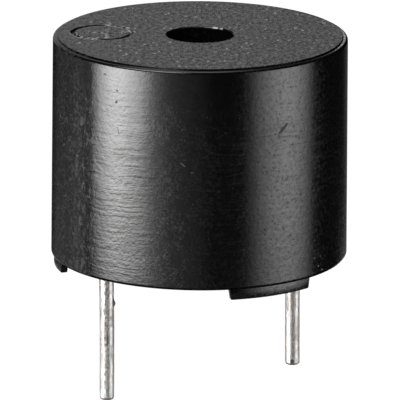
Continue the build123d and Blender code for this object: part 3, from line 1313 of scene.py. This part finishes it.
@dataclass
class CaseFeet:
    """The low standoff feet under the wall, equal arcs set evenly round it.

    The end draft is the share of its span that a foot loses towards its seat.
    """

    wall_foot_level: float
    outer_radius: float
    count: int = 3
    first_angle: float = 180.75
    span: float = 37.6
    end_draft: float = 0.04
    inset: float = 0.11
    thickness: float = 0.3
    rounding: float = 0.06
    end_rounding: float = 0.05
    root_depth: float = 0.06
    sweep_steps: int = 64
    corner_steps: int = 5
    end_steps: int = 4
    end_angle: float = 60.0

    def one_foot(self, build: TreeBuilder, given: bpy.types.NodeOutputs) -> bpy.types.NodeSocket:
        """Adds the nodes that sweep one foot and narrow it towards its seat.

        Args:
            build: the tree.
            given: the tree's inputs.

        Returns:
            The foot, with its middle on plus X.
        """
        span = Signal(build, given["Span"])
        height = Signal(build, given["Height"])
        sweep = {"Start Angle": span * -0.5, "Sweep Angle": span}
        arc = build.node(
            "GeometryNodeCurveArc",
            {"mode": "RADIUS"},
            {"Resolution": self.sweep_steps, "Radius": given["Middle radius"], **sweep},
        )
        section = build.node(
            "GeometryNodeCurvePrimitiveQuadrilateral",
            {"mode": "RECTANGLE"},
            {"Width": given["Thickness"], "Height": given["Height"]},
        )
        rounded = build.node(
            "GeometryNodeFilletCurve",
            {"mode": "POLY"},
            {"Curve": section.outputs[0], "Radius": given["Rounding"], "Count": self.corner_steps},
        )
        swept = build.node(
            "GeometryNodeCurveToMesh",
            None,
            {"Curve": arc.outputs[0], "Profile Curve": rounded.outputs[0], "Fill Caps": True},
        )
        lift = build.node("ShaderNodeCombineXYZ", None, {"Z": height * 0.5})
        lifted = build.node(
            "GeometryNodeTransform", None, {"Geometry": swept.outputs[0], "Translation": lift.outputs[0]}
        )
        place = build.node("GeometryNodeInputPosition").outputs[0]
        parts = build.node("ShaderNodeSeparateXYZ", None, {0: place}).outputs
        x, y, z = (Signal(build, part) for part in parts)
        narrowing = (1 - z / height) * Signal(build, given["End draft"])
        leaned = build.node(
            "ShaderNodeVectorRotate",
            {"rotation_type": "Z_AXIS"},
            {"Vector": place, "Angle": -(y.turn_from(x) * narrowing)},
        )
        drafted = build.node(
            "GeometryNodeSetPosition", None, {"Geometry": lifted.outputs[0], "Position": leaned.outputs[0]}
        )
        return drafted.outputs[0]

    def tree(self) -> bpy.types.NodeTree:
        """Builds the node tree that sets the feet round the wall."""
        made = bpy.data.node_groups.new("feet_round_wall", "GeometryNodeTree")
        made.interface.new_socket("Feet", in_out="INPUT", socket_type="NodeSocketInt")
        sizes = ("First angle", "Span", "End draft", "Middle radius", "Thickness", "Height", "Rounding")
        for name in sizes:
            made.interface.new_socket(name, in_out="INPUT", socket_type="NodeSocketFloat")
        made.interface.new_socket("Finish", in_out="INPUT", socket_type="NodeSocketMaterial")
        made.interface.new_socket("Geometry", in_out="OUTPUT", socket_type="NodeSocketGeometry")
        build = TreeBuilder(made)
        given = build.node("NodeGroupInput").outputs
        foot = self.one_foot(build, given)
        points = build.node("GeometryNodePoints", None, {"Count": given["Feet"]})
        number = Signal(build, build.node("GeometryNodeInputIndex").outputs[0])
        step = 2 * math.pi / Signal(build, given["Feet"])
        turn = build.node(
            "ShaderNodeCombineXYZ", None, {"Z": number * step + Signal(build, given["First angle"])}
        )
        placed = build.node(
            "GeometryNodeInstanceOnPoints",
            None,
            {"Points": points.outputs[0], "Instance": foot, "Rotation": turn.outputs[0]},
        )
        realized = build.node("GeometryNodeRealizeInstances", None, {"Geometry": placed.outputs[0]})
        dressed = build.node(
            "GeometryNodeSetMaterial", None, {"Geometry": realized.outputs[0], "Material": given["Finish"]}
        )
        build.node("NodeGroupOutput", None, {"Geometry": dressed.outputs[0]})
        return made

    def build(self, plastic: bpy.types.Material) -> bpy.types.Object:
        """Makes the feet as one mesh.

        Args:
            plastic: the case's material.

        Returns:
            The feet.
        """
        feet = bpy.data.objects.new("case_feet", bpy.data.meshes.new("case_feet"))
        bpy.context.scene.collection.objects.link(feet)
        tree = self.tree()
        values = {
            "Feet": self.count,
            "First angle": math.radians(self.first_angle),
            "Span": math.radians(self.span),
            "End draft": self.end_draft,
            "Middle radius": (self.outer_radius - self.inset - self.thickness / 2) * MM,
            "Thickness": self.thickness * MM,
            "Height": (self.wall_foot_level + self.root_depth) * MM,
            "Rounding": self.rounding * MM,
            "Finish": plastic,
        }
        modifier = feet.modifiers.new("feet_round_wall", "NODES")
        modifier.node_group = tree
        for item in tree.interface.items_tree:
            if item.in_out == "INPUT":
                modifier[item.identifier] = values[item.name]
        settle(feet)
        face_outwards(feet.data)
        rounded = feet.modifiers.new("end_rounding", "BEVEL")
        rounded.width = self.end_rounding * MM
        rounded.segments = self.end_steps
        rounded.limit_method = "ANGLE"
        rounded.angle_limit = math.radians(self.end_angle)
        settle(feet)
        smooth(feet)
        return feet

    def finish(self, plastic: bpy.types.Material) -> None:
        """Builds the feet and ties them to the frame."""
        keep(self.build(plastic), "case_plastic")


class Polarity(Enum):
    """Which pin it is, by the name of its CAD node."""

    POSITIVE = "positive_pin"
    NEGATIVE = "negative_pin"


@dataclass(frozen=True)
class TinDrop:
    """A drop that set on a wire's right side: its level, half length, height and half turn in radians."""

    level: float
    half_length: float
    height: float
    half_turn: float

    def over(self, level: float, turns: np.ndarray) -> np.ndarray:
        """Returns how far the drop stands out round the wire at a level.

        Args:
            level: the level.
            turns: the angles round the wire.

        Returns:
            The drop's height at each angle.
        """
        aside = (np.remainder(turns + math.pi, 2 * math.pi) - math.pi) / self.half_turn
        along = (level - self.level) / self.half_length
        return self.height * np.exp(-(along**2) - aside**2)


@dataclass
class WirePin:
    """One tinned wire pin: round and slightly uneven below the resin, pressed square where it is held.

    Its tip leans along X, and a larger bend puts more of the lean near the case. A wave has at least
    the first number of lobes and fewer than the second.
    """

    polarity: Polarity
    lean: float
    bend: float
    seed: int
    tail_level: float
    drops: tuple[TinDrop, ...] = ()
    tail_width: float = 0.51
    tail_blend: float = 0.08
    tip_rounding: float = 0.11
    head_rounding: float = 0.05
    unevenness: float = 0.007
    wave_count: int = 9
    wave_lobes: tuple[int, int] = (1, 5)
    wave_rates: Pair = (0.4, 5.0)
    squareness: float = 10.0
    ring_step: float = 0.05
    least_gap: float = 0.002
    end_rings: int = 8
    press_rings: int = 5
    crease: float = 50.0
    segments: int = 72

    def radius_at(self, level: float, tip: float, head: float, radius: float) -> float:
        """Returns the radius that the rounded ends leave at a level.

        Args:
            level: the level.
            tip: the level of the free end.
            head: the level of the end in the case.
            radius: the full radius.

        Returns:
            The radius at that level.
        """
        ends = ((self.tip_rounding, level - tip), (self.head_rounding, head - level))
        rounding, gap = min(ends, key=lambda end: end[1] / end[0])
        if gap >= rounding:
            return radius
        return radius - rounding + math.sqrt(max(rounding**2 - (rounding - gap) ** 2, 0.0))

    def levels(self, tip: float, head: float) -> list[float]:
        """Returns the levels of the rings, closer together at both ends and at the pressed part.

        Args:
            tip: the level of the free end.
            head: the level of the end in the case.

        Returns:
            The levels, upwards.
        """
        ease = np.sin(np.linspace(0.0, math.pi / 2, self.end_rings)) ** 2
        ends = [*(tip + self.tip_rounding * ease), *(head - self.head_rounding * ease)]
        press = list(self.tail_level + self.tail_blend * np.linspace(0.0, 1.0, self.press_rings))
        runs = list(np.arange(tip + self.tip_rounding, head - self.head_rounding, self.ring_step)[1:])
        marks = sorted([*ends, *press, *runs])
        return [marks[0], *(b for a, b in zip(marks, marks[1:]) if b - a > self.least_gap)]

    def unevenness_at(self, level: float, turns: np.ndarray, waves: Sequence[Wave]) -> np.ndarray:
        """Returns how far the wire is from round at a level, as shares of its radius.

        Args:
            level: the level.
            turns: the angles round the wire.
            waves: lobes round the wire, rate along it, and both starts of each wave.

        Returns:
            The share at each angle.
        """
        total = sum(
            np.cos(lobes * turns + around) * math.cos(rate * level + along)
            for lobes, rate, around, along in waves
        )
        return self.unevenness * total / len(waves) ** 0.5

    def build(self) -> bpy.types.Object:
        """Lofts the pin from rings."""
        low, high = (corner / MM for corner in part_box(self.polarity.value))
        middle = (low.x + high.x) / 2
        radius = (high.x - low.x) / 2
        rng = np.random.default_rng(self.seed)
        waves = [
            (rng.integers(*self.wave_lobes), rng.uniform(*self.wave_rates), *rng.uniform(0, 2 * math.pi, 2))
            for _ in range(self.wave_count)
        ]
        turns = np.linspace(0.0, 2 * math.pi, self.segments, endpoint=False)
        sides = np.abs(np.cos(turns)) ** self.squareness + np.abs(np.sin(turns)) ** self.squareness
        box_share = sides ** (-1 / self.squareness)
        draft = MeshDraft()
        rings: list[list[int]] = []
        for level in self.levels(low.z, high.z):
            pressed = float(np.clip((level - self.tail_level) / self.tail_blend, 0.0, 1.0))
            inset = radius - self.radius_at(level, low.z, high.z, radius)
            uneven = self.unevenness_at(level, turns, waves)
            circle_part = (radius - inset) * (1 + uneven * (1 - pressed))
            square_part = (self.tail_width / 2 - inset) * box_share
            reach = circle_part * (1 - pressed) + square_part * pressed
            reach = reach + sum(drop.over(level, turns) for drop in self.drops)
            down = float(np.clip((self.tail_level - level) / (self.tail_level - low.z), 0.0, 1.0))
            centre = middle + self.lean * (1 - (1 - down) ** self.bend)
            around = zip(centre + reach * np.cos(turns), reach * np.sin(turns))
            rings.append(draft.ring([(x, y, level) for x, y in around]))
        for under, over in zip(rings, rings[1:]):
            draft.bridge(under, over)
        draft.cap(list(reversed(rings[0])), (middle + self.lean, 0.0, low.z))
        draft.cap(rings[-1], (middle, 0.0, high.z))
        pin = draft.to_object(f"{self.polarity.value}_wire")
        smooth(pin, self.crease)
        return pin

    def finish(self, wire: TinnedWire) -> None:
        """Builds the pin, dresses it and ties it to the frame.

        Args:
            wire: its finish.
        """
        pin = self.build()
        low, high = (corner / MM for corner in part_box(self.polarity.value))
        dress(pin, wire.make(f"{self.polarity.value}_tin", (low.x + high.x) / 2, low.z))
        keep(pin, "tinned_wire", self.polarity.value)


@dataclass
class BaseResin:
    """The cast resin in the open end, drawn down a little along the wall and round the pins."""

    radius: float
    ceiling: float
    level: float
    pin_offset: float
    wall_creep: float = 0.18
    wall_fade: float = 0.12
    pin_creep: float = 0.24
    pin_fade: float = 0.10
    pin_radius: float = 0.3
    sag: float = 0.03
    sag_hold: int = 4
    wave_along_x: Pair = (0.9, 0.4)
    wave_along_y: Pair = (0.7, -1.1)
    slanted_wave: Triple = (1.7, -0.8, 2.0)
    slanted_share: float = 0.5
    ring_crowding: float = 0.85
    crease: float = 40.0
    rings: int = 84
    segments: int = 288

    def swell(self, x: float, y: float) -> float:
        """Returns the slow waves of the cast face at a place, each wave given by its rates and start.

        Args:
            x: the place along X.
            y: the place along Y.

        Returns:
            The swell, about 0 on average.
        """
        rate_x, start_x = self.wave_along_x
        rate_y, start_y = self.wave_along_y
        slant_x, slant_y, start = self.slanted_wave
        broad = math.cos(rate_x * x + start_x) * math.cos(rate_y * y + start_y)
        return broad + self.slanted_share * math.cos(slant_x * x + slant_y * y + start)

    def face_level(self, x: float, y: float) -> float:
        """Returns the level of the resin's open face at a place.

        Args:
            x: the place along X.
            y: the place along Y.

        Returns:
            The level there.
        """
        reach = math.hypot(x, y)
        drop = self.wall_creep * math.exp(-(self.radius - reach) / self.wall_fade)
        for side in (-1, 1):
            gap = max(math.hypot(x - side * self.pin_offset, y) - self.pin_radius, 0.0)
            drop += self.pin_creep * math.exp(-gap / self.pin_fade)
        freedom = 1 - (reach / self.radius) ** self.sag_hold
        return self.level - drop + self.sag * self.swell(x, y) * freedom

    def build(self) -> bpy.types.Object:
        """Makes the resin as one closed body with an uneven open face."""
        draft = MeshDraft()
        shares = np.linspace(0.0, 1.0, self.rings + 1)[1:]
        reaches = self.radius * np.sin(shares * math.pi / 2) ** self.ring_crowding
        face: list[list[int]] = []
        for reach in reaches:
            ring = circle(float(reach), 0.0, self.segments)
            face.append(draft.ring([(x, y, self.face_level(x, y)) for x, y, _ in ring]))
        for inner, outer in zip(face, face[1:]):
            draft.bridge(inner, outer)
        draft.cap(face[0], (0.0, 0.0, self.face_level(0.0, 0.0)))
        back = draft.ring(circle(self.radius, self.ceiling, self.segments))
        draft.bridge(face[-1], back)
        draft.cap(back, (0.0, 0.0, self.ceiling))
        resin = draft.to_object("base_resin")
        smooth(resin, self.crease)
        return resin

    def finish(self) -> None:
        """Builds the resin, dresses it and ties it to the frame."""
        resin = self.build()
        dress(resin, CAST_RESIN.make())
        keep(resin, "resin", "base_potting")


@dataclass
class InnerWorks:
    """The hidden disc and drive circuit, which keep their CAD shapes and get their finishes."""

    finishes: Mapping[str, PlainFinish] = field(
        default_factory=lambda: {
            "piezo_plate": BRASS_SHEET,
            "piezo_ceramic": FIRED_CERAMIC,
            "main_electrode": BURNT_SILVER,
            "feedback_electrode": BURNT_SILVER,
            "plate_adhesive": WHITE_SILICONE,
            "circuit_board": GREEN_BOARD,
            "copper_lands": COPPER_FOIL,
            "transistor_body": MOULDED_BLACK,
            "transistor_leads": DULL_TIN,
            "base_resistor": CHIP_GLAZE,
            "load_resistor": CHIP_GLAZE,
            "feedback_resistor": CHIP_GLAZE,
            "resistor_caps": DULL_TIN,
            "plate_wire": BLACK_SLEEVE,
            "electrode_wire": RED_SLEEVE,
            "feedback_wire": BLUE_SLEEVE,
            "wire_solder": BRIGHT_SOLDER,
            "pin_solder": BRIGHT_SOLDER,
        }
    )

    def finish(self) -> None:
        """Dresses each node."""
        made: dict[str, bpy.types.Material] = {}
        for node, finish in self.finishes.items():
            if finish.name not in made:
                made[finish.name] = finish.make()
            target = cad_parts[node]
            if target.material_slots:
                for held in target.material_slots:
                    held.material = made[finish.name]
            else:
                target.data.materials.append(made[finish.name])
            log.info("%s: finish %s", node, finish.name)


# Studio


@dataclass(frozen=True)
class Glow:
    """One layer of a card's light.

    Fields: brightness by azimuth from the front towards the right, the level of its brightest
    line, how far from there it dims, and how sharply.
    """

    profile: tuple[Stop, ...]
    middle: float
    fade: float
    sharpness: float = 2.0

    def over(self, azimuths: np.ndarray, levels: np.ndarray) -> np.ndarray:
        """Returns the brightness at each azimuth and level.

        Args:
            azimuths: the azimuths in degrees.
            levels: the levels.

        Returns:
            The brightness, one row for each azimuth.
        """
        stops, values = zip(*self.profile)
        across = np.interp(azimuths, stops, values, left=0.0, right=0.0)
        return np.outer(across, np.exp(-(np.abs((levels - self.middle) / self.fade) ** self.sharpness)))


@dataclass(frozen=True)
class LightCard:
    """A curved card of light that stands round the object.

    Fields: its first and last azimuth, its lowest and highest level, and its layers of light.
    """

    name: str
    first: float
    last: float
    low: float
    high: float
    layers: tuple[Glow, ...]
    distance: float = 120.0
    columns: int = 180
    rows: int = 72

    def build(self) -> None:
        """Makes the card's mesh with its brightness at each point."""
        azimuths = np.linspace(self.first, self.last, self.columns + 1)
        levels = np.linspace(self.low, self.high, self.rows + 1)
        points: list[Corner] = []
        faces: list[tuple[int, ...]] = []
        for azimuth in np.radians(azimuths):
            x = self.distance * math.sin(azimuth)
            y = -self.distance * math.cos(azimuth)
            points.extend((x * MM, y * MM, level * MM) for level in levels)
        width = self.rows + 1
        for column in range(self.columns):
            for row in range(self.rows):
                corner = column * width + row
                faces.append((corner, corner + width, corner + width + 1, corner + 1))
        mesh = bpy.data.meshes.new(self.name)
        mesh.from_pydata(points, [], faces)
        light = sum(layer.over(azimuths, levels) for layer in self.layers)
        glow = mesh.attributes.new("glow", "FLOAT", "POINT")
        glow.data.foreach_set("value", light.astype(np.float32).ravel())
        card = bpy.data.objects.new(self.name, mesh)
        bpy.context.scene.collection.objects.link(card)
        dress(card, glow_material(self.name))
        card.visible_camera = False
        card.visible_shadow = False


def glow_material(name: str, one_sided: bool = False) -> bpy.types.Material:
    """Makes a light whose strength is read from the mesh's own glow.

    Args:
        name: the material's name.
        one_sided: whether the back of the mesh is clear.

    Returns:
        The material.
    """
    tree = ShaderTree(name)
    strength = tree.node("ShaderNodeAttribute", {"attribute_name": "glow"}).outputs["Fac"]
    light = tree.node("ShaderNodeEmission", None, {"Color": WHITE, "Strength": strength})
    if one_sided:
        behind = tree.node("ShaderNodeNewGeometry").outputs["Backfacing"]
        clear = tree.node("ShaderNodeBsdfTransparent").outputs[0]
        light = tree.node("ShaderNodeMixShader", None, {0: behind, 1: light.outputs[0], 2: clear})
    tree.node("ShaderNodeOutputMaterial", None, {"Surface": light.outputs[0]})
    return tree.material


class Seen(Enum):
    """What sees a disc of light."""

    BY_CAMERA = "camera"
    BY_MATTE = "matte surfaces"
    IN_GLOSS = "glossy surfaces"


@dataclass(frozen=True)
class PaleDisc:
    """A level disc of light: the floor, the panel overhead or the lamp in it.

    Fields: its level, its brightness by distance from its middle, what sees it, and where its
    middle lies.
    """

    name: str
    level: float
    profile: tuple[Stop, ...]
    seen: Seen
    centre: Point = (0.0, 0.0)
    segments: int = 96

    def build(self) -> None:
        """Makes the disc's mesh with its brightness at each point."""
        draft = MeshDraft()
        rings: list[list[int]] = []
        for reach, _ in self.profile:
            rings.append(draft.ring(circle(reach, self.level, self.segments, self.centre)))
        draft.cap(rings[0], (*self.centre, self.level))
        for inner, outer in zip(rings, rings[1:]):
            draft.bridge(inner, outer)
        glows = [glow for _, glow in self.profile for _ in range(self.segments)]
        glows.insert(len(rings) * self.segments, self.profile[0][1])
        disc = draft.to_object(self.name)
        glow = disc.data.attributes.new("glow", "FLOAT", "POINT")
        glow.data.foreach_set("value", np.array(glows, np.float32))
        if disc.data.polygons[0].normal.z < 0:
            disc.data.flip_normals()
        dress(disc, glow_material(self.name, self.seen is Seen.BY_CAMERA))
        disc.visible_camera = self.seen is Seen.BY_CAMERA
        disc.visible_glossy = self.seen is Seen.IN_GLOSS
        disc.visible_diffuse = self.seen is Seen.BY_MATTE
        disc.visible_shadow = False


# Brightness of each light by azimuth, in degrees from the front towards the right

LEFT_SOFTBOX = (
    (-96.0, 0.0), (-91.5, 0.55), (-87.0, 3.6), (-82.5, 7.0), (-75.0, 12.7), (-69.0, 15.9),
    (-62.0, 15.9), (-55.0, 13.0), (-47.0, 9.7), (-37.0, 3.4), (-33.0, 1.85), (-27.0, 0.85),
    (-22.0, 0.45), (-6.0, 0.2), (5.0, 0.08), (10.0, 0.0),
)
RIGHT_SOFTBOX = (
    (34.0, 0.0), (40.0, 0.4), (48.0, 2.1), (60.0, 4.0), (67.0, 4.5), (73.5, 4.6), (80.0, 3.4),
    (88.0, 2.1), (94.0, 0.6), (97.0, 0.0),
)
LEFT_SPILL = ((-50.0, 0.0), (-33.0, 0.8), (-28.0, 0.5), (-9.0, 0.27), (0.0, 0.15), (8.0, 0.0))
UPPER_LEFT_SOFTBOX = ((-82.0, 0.0), (-72.0, 3.0), (-54.0, 7.0), (-22.0, 7.0), (-12.0, 0.0))
BACK_LEFT_WALL = (
    (-180.0, 0.11), (-169.0, 0.10), (-164.0, 0.003), (-151.0, 0.003), (-147.0, 0.10), (-132.0, 0.12),
    (-122.0, 0.18), (-106.0, 0.42), (-96.0, 0.40),
)
BACK_RIGHT_WALL = ((99.0, 0.015), (148.0, 0.012), (154.0, 0.05), (160.0, 0.11), (180.0, 0.15))
BACKDROP_LEFT = ((-180.0, 0.3), (-176.0, 0.6), (-148.0, 0.6), (-136.0, 0.0))
BACKDROP_RIGHT = ((168.0, 0.0), (171.0, 1.7), (177.0, 1.7), (180.0, 0.3))
BEHIND_SOFTBOX = ((150.0, 0.0), (176.0, 0.4), (184.0, 0.8), (212.0, 0.8), (230.0, 0.0))
BEHIND_SLIT = ((177.5, 0.0), (179.6, 0.42), (181.3, 0.42), (183.5, 0.0))
TABLE_FRONT = ((-40.0, 0.35), (0.0, 0.3), (12.0, 0.2), (40.0, 0.2))
TABLE_BACK_LEFT = ((-180.0, 1.8), (-168.0, 1.6), (-163.0, 0.5), (-145.0, 0.5), (-96.0, 0.5))
TABLE_BACK_RIGHT = ((99.0, 0.03), (142.0, 0.03), (154.0, 1.8), (180.0, 1.8))
ROOM_FRONT = ((-60.0, 0.03), (60.0, 0.03))

FRONT_LIGHT = (
    Glow(TABLE_FRONT, middle=-46.0, fade=10.0, sharpness=10.0),
    Glow(ROOM_FRONT, middle=-26.0, fade=40.0),
)
LEFT_LIGHT = (
    Glow(LEFT_SOFTBOX, middle=-15.5, fade=13.5),
    Glow(LEFT_SPILL, middle=-32.0, fade=7.0),
    *FRONT_LIGHT,
)
RIGHT_LIGHT = (Glow(RIGHT_SOFTBOX, middle=-12.0, fade=23.0, sharpness=8.0), *FRONT_LIGHT)
BACK_LEFT_LIGHT = (
    Glow(BACK_LEFT_WALL, middle=-24.0, fade=12.0),
    Glow(BACKDROP_LEFT, middle=24.0, fade=21.0, sharpness=6.0),
    Glow(TABLE_BACK_LEFT, middle=-45.0, fade=10.0, sharpness=10.0),
)
BACK_RIGHT_LIGHT = (
    Glow(BACK_RIGHT_WALL, middle=-24.0, fade=12.0),
    Glow(BACKDROP_RIGHT, middle=43.0, fade=9.0, sharpness=4.0),
    Glow(TABLE_BACK_RIGHT, middle=-45.0, fade=10.0, sharpness=10.0),
)
UPPER_LEFT_LIGHT = (Glow(UPPER_LEFT_SOFTBOX, middle=132.0, fade=62.0, sharpness=6.0),)
BEHIND_LIGHT = (
    Glow(BEHIND_SOFTBOX, middle=120.0, fade=45.0),
    Glow(BEHIND_SLIT, middle=64.0, fade=12.0, sharpness=4.0),
)
LIGHT_CARDS = (
    LightCard("card_left", first=-96.0, last=20.0, low=-90.0, high=30.0, layers=LEFT_LIGHT),
    LightCard("card_right", first=20.0, last=99.0, low=-90.0, high=40.0, layers=RIGHT_LIGHT),
    LightCard("card_back_left", first=-180.0, last=-96.0, low=-90.0, high=54.0, layers=BACK_LEFT_LIGHT),
    LightCard("card_back_right", first=99.0, last=180.0, low=-90.0, high=54.0, layers=BACK_RIGHT_LIGHT),
    LightCard("card_upper_left", first=-84.0, last=0.0, low=40.0, high=240.0, layers=UPPER_LEFT_LIGHT),
    LightCard("card_behind", first=130.0, last=230.0, low=54.0, high=200.0, layers=BEHIND_LIGHT),
)
OVERHEAD_PANEL = PaleDisc(
    "panel_overhead", level=170.0, profile=((60.0, 2.2), (130.0, 1.65), (150.0, 0.0)), seen=Seen.BY_MATTE
)
OVERHEAD_LAMP = PaleDisc(
    "lamp_overhead", level=165.0, profile=((45.0, 2.0), (85.0, 0.0)), seen=Seen.IN_GLOSS, centre=(-15.0, 0.0)
)


@dataclass
class Studio:
    """The pale floor, the soft cards of light round the object and the white surround."""

    floor_level: float
    floor_reaches: Pair = (50.0, 2500.0)
    white: float = 1.05
    ambient: float = 0.02

    def build(self) -> None:
        """Sets up the floor, the cards and the surround."""
        white_floor = tuple((reach, self.white) for reach in self.floor_reaches)
        floor = PaleDisc("floor", self.floor_level, white_floor, Seen.BY_CAMERA)
        for light in (floor, OVERHEAD_PANEL, OVERHEAD_LAMP, *LIGHT_CARDS):
            light.build()
        self.surround()
        view = bpy.context.scene.view_settings
        view.view_transform = "Standard"
        view.look = "None"
        log.info("studio ready, floor at %.2f mm", self.floor_level)

    def surround(self) -> None:
        """Makes the world white to the camera and dim to everything else."""
        world = bpy.data.worlds.new("surround")
        world.use_nodes = True
        world.node_tree.nodes.clear()
        build = TreeBuilder(world.node_tree)
        seen = Signal(build, build.node("ShaderNodeLightPath").outputs["Is Camera Ray"])
        strength = seen.between(self.ambient, self.white)
        sky = build.node("ShaderNodeBackground", None, {"Color": WHITE, "Strength": strength})
        build.node("ShaderNodeOutputWorld", None, {"Surface": sky.outputs[0]})
        bpy.context.scene.world = world


@dataclass
class PhotoCamera:
    """The camera at the photograph's viewing angle."""

    target: Corner = (0.0306, 0.0, 2.5894)
    elevation: float = 15.105
    roll: float = 0.414
    distance: float = 300.0
    lens: float = 665.596
    sensor: float = 36.0
    clip: Pair = (0.01, 50.0)

    def build(self) -> None:
        """Makes the camera and gives it to the scene."""
        data = bpy.data.cameras.new("photo_camera")
        data.lens = self.lens
        data.sensor_width = self.sensor
        data.clip_start, data.clip_end = self.clip
        camera = bpy.data.objects.new("photo_camera", data)
        bpy.context.scene.collection.objects.link(camera)
        tilt = math.radians(self.elevation)
        back = Vector((0.0, -math.cos(tilt), math.sin(tilt)))
        turn = back.to_track_quat("Z", "Y").to_matrix() @ Matrix.Rotation(math.radians(self.roll), 3, "Z")
        place = (Vector(self.target) + back * self.distance) * MM
        camera.matrix_world = Matrix.Translation(place) @ turn.to_4x4()
        bpy.context.scene.camera = camera
        log.info("camera ready, lens %.1f mm", self.lens)


def main() -> None:
    """Builds the buzzer, its studio and the camera."""
    logging.basicConfig(level=logging.INFO, format="%(name)s: %(message)s")
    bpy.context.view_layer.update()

    shell = CaseShell.from_frame()
    plastic = CasePlastic().make(shell.outer_radius, shell.height, shell.matte_reach, shell.mark)
    shell.finish(plastic)
    CaseFeet(shell.wall_foot_level, shell.outer_radius).finish(plastic)

    positive_low, positive_high = (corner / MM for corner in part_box("positive_pin"))
    streaked = TinnedWire(
        marks=(
            WireMark(across=0.09, level=-3.2, half_width=0.035, half_length=0.45),
            WireMark(across=0.35, level=-1.74, half_width=0.06, half_length=0.20),
        ),
        grime_and_shade_across=0.08,
    )
    browned = TinnedWire(
        marks=(WireMark(across=0.03, level=-4.12, half_width=0.10, half_length=0.12),),
        grime_and_shade_across=0.04,
        grime_and_shade_share=0.4,
    )
    drop = TinDrop(level=-1.8, half_length=0.09, height=0.07, half_turn=0.3)
    tail = shell.resin_level
    WirePin(Polarity.POSITIVE, lean=0.085, bend=3.0, seed=5, tail_level=tail, drops=(drop,)).finish(streaked)
    WirePin(Polarity.NEGATIVE, lean=0.042, bend=1.0, seed=8, tail_level=tail).finish(browned)
    BaseResin(
        radius=shell.resin_bore,
        ceiling=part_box("circuit_board")[0].z / MM,
        level=tail,
        pin_offset=-(positive_low.x + positive_high.x) / 2,
    ).finish()
    InnerWorks().finish()

    Studio(floor_level=positive_low.z).build()
    PhotoCamera().build()


if __name__ == "__main__":
    main()
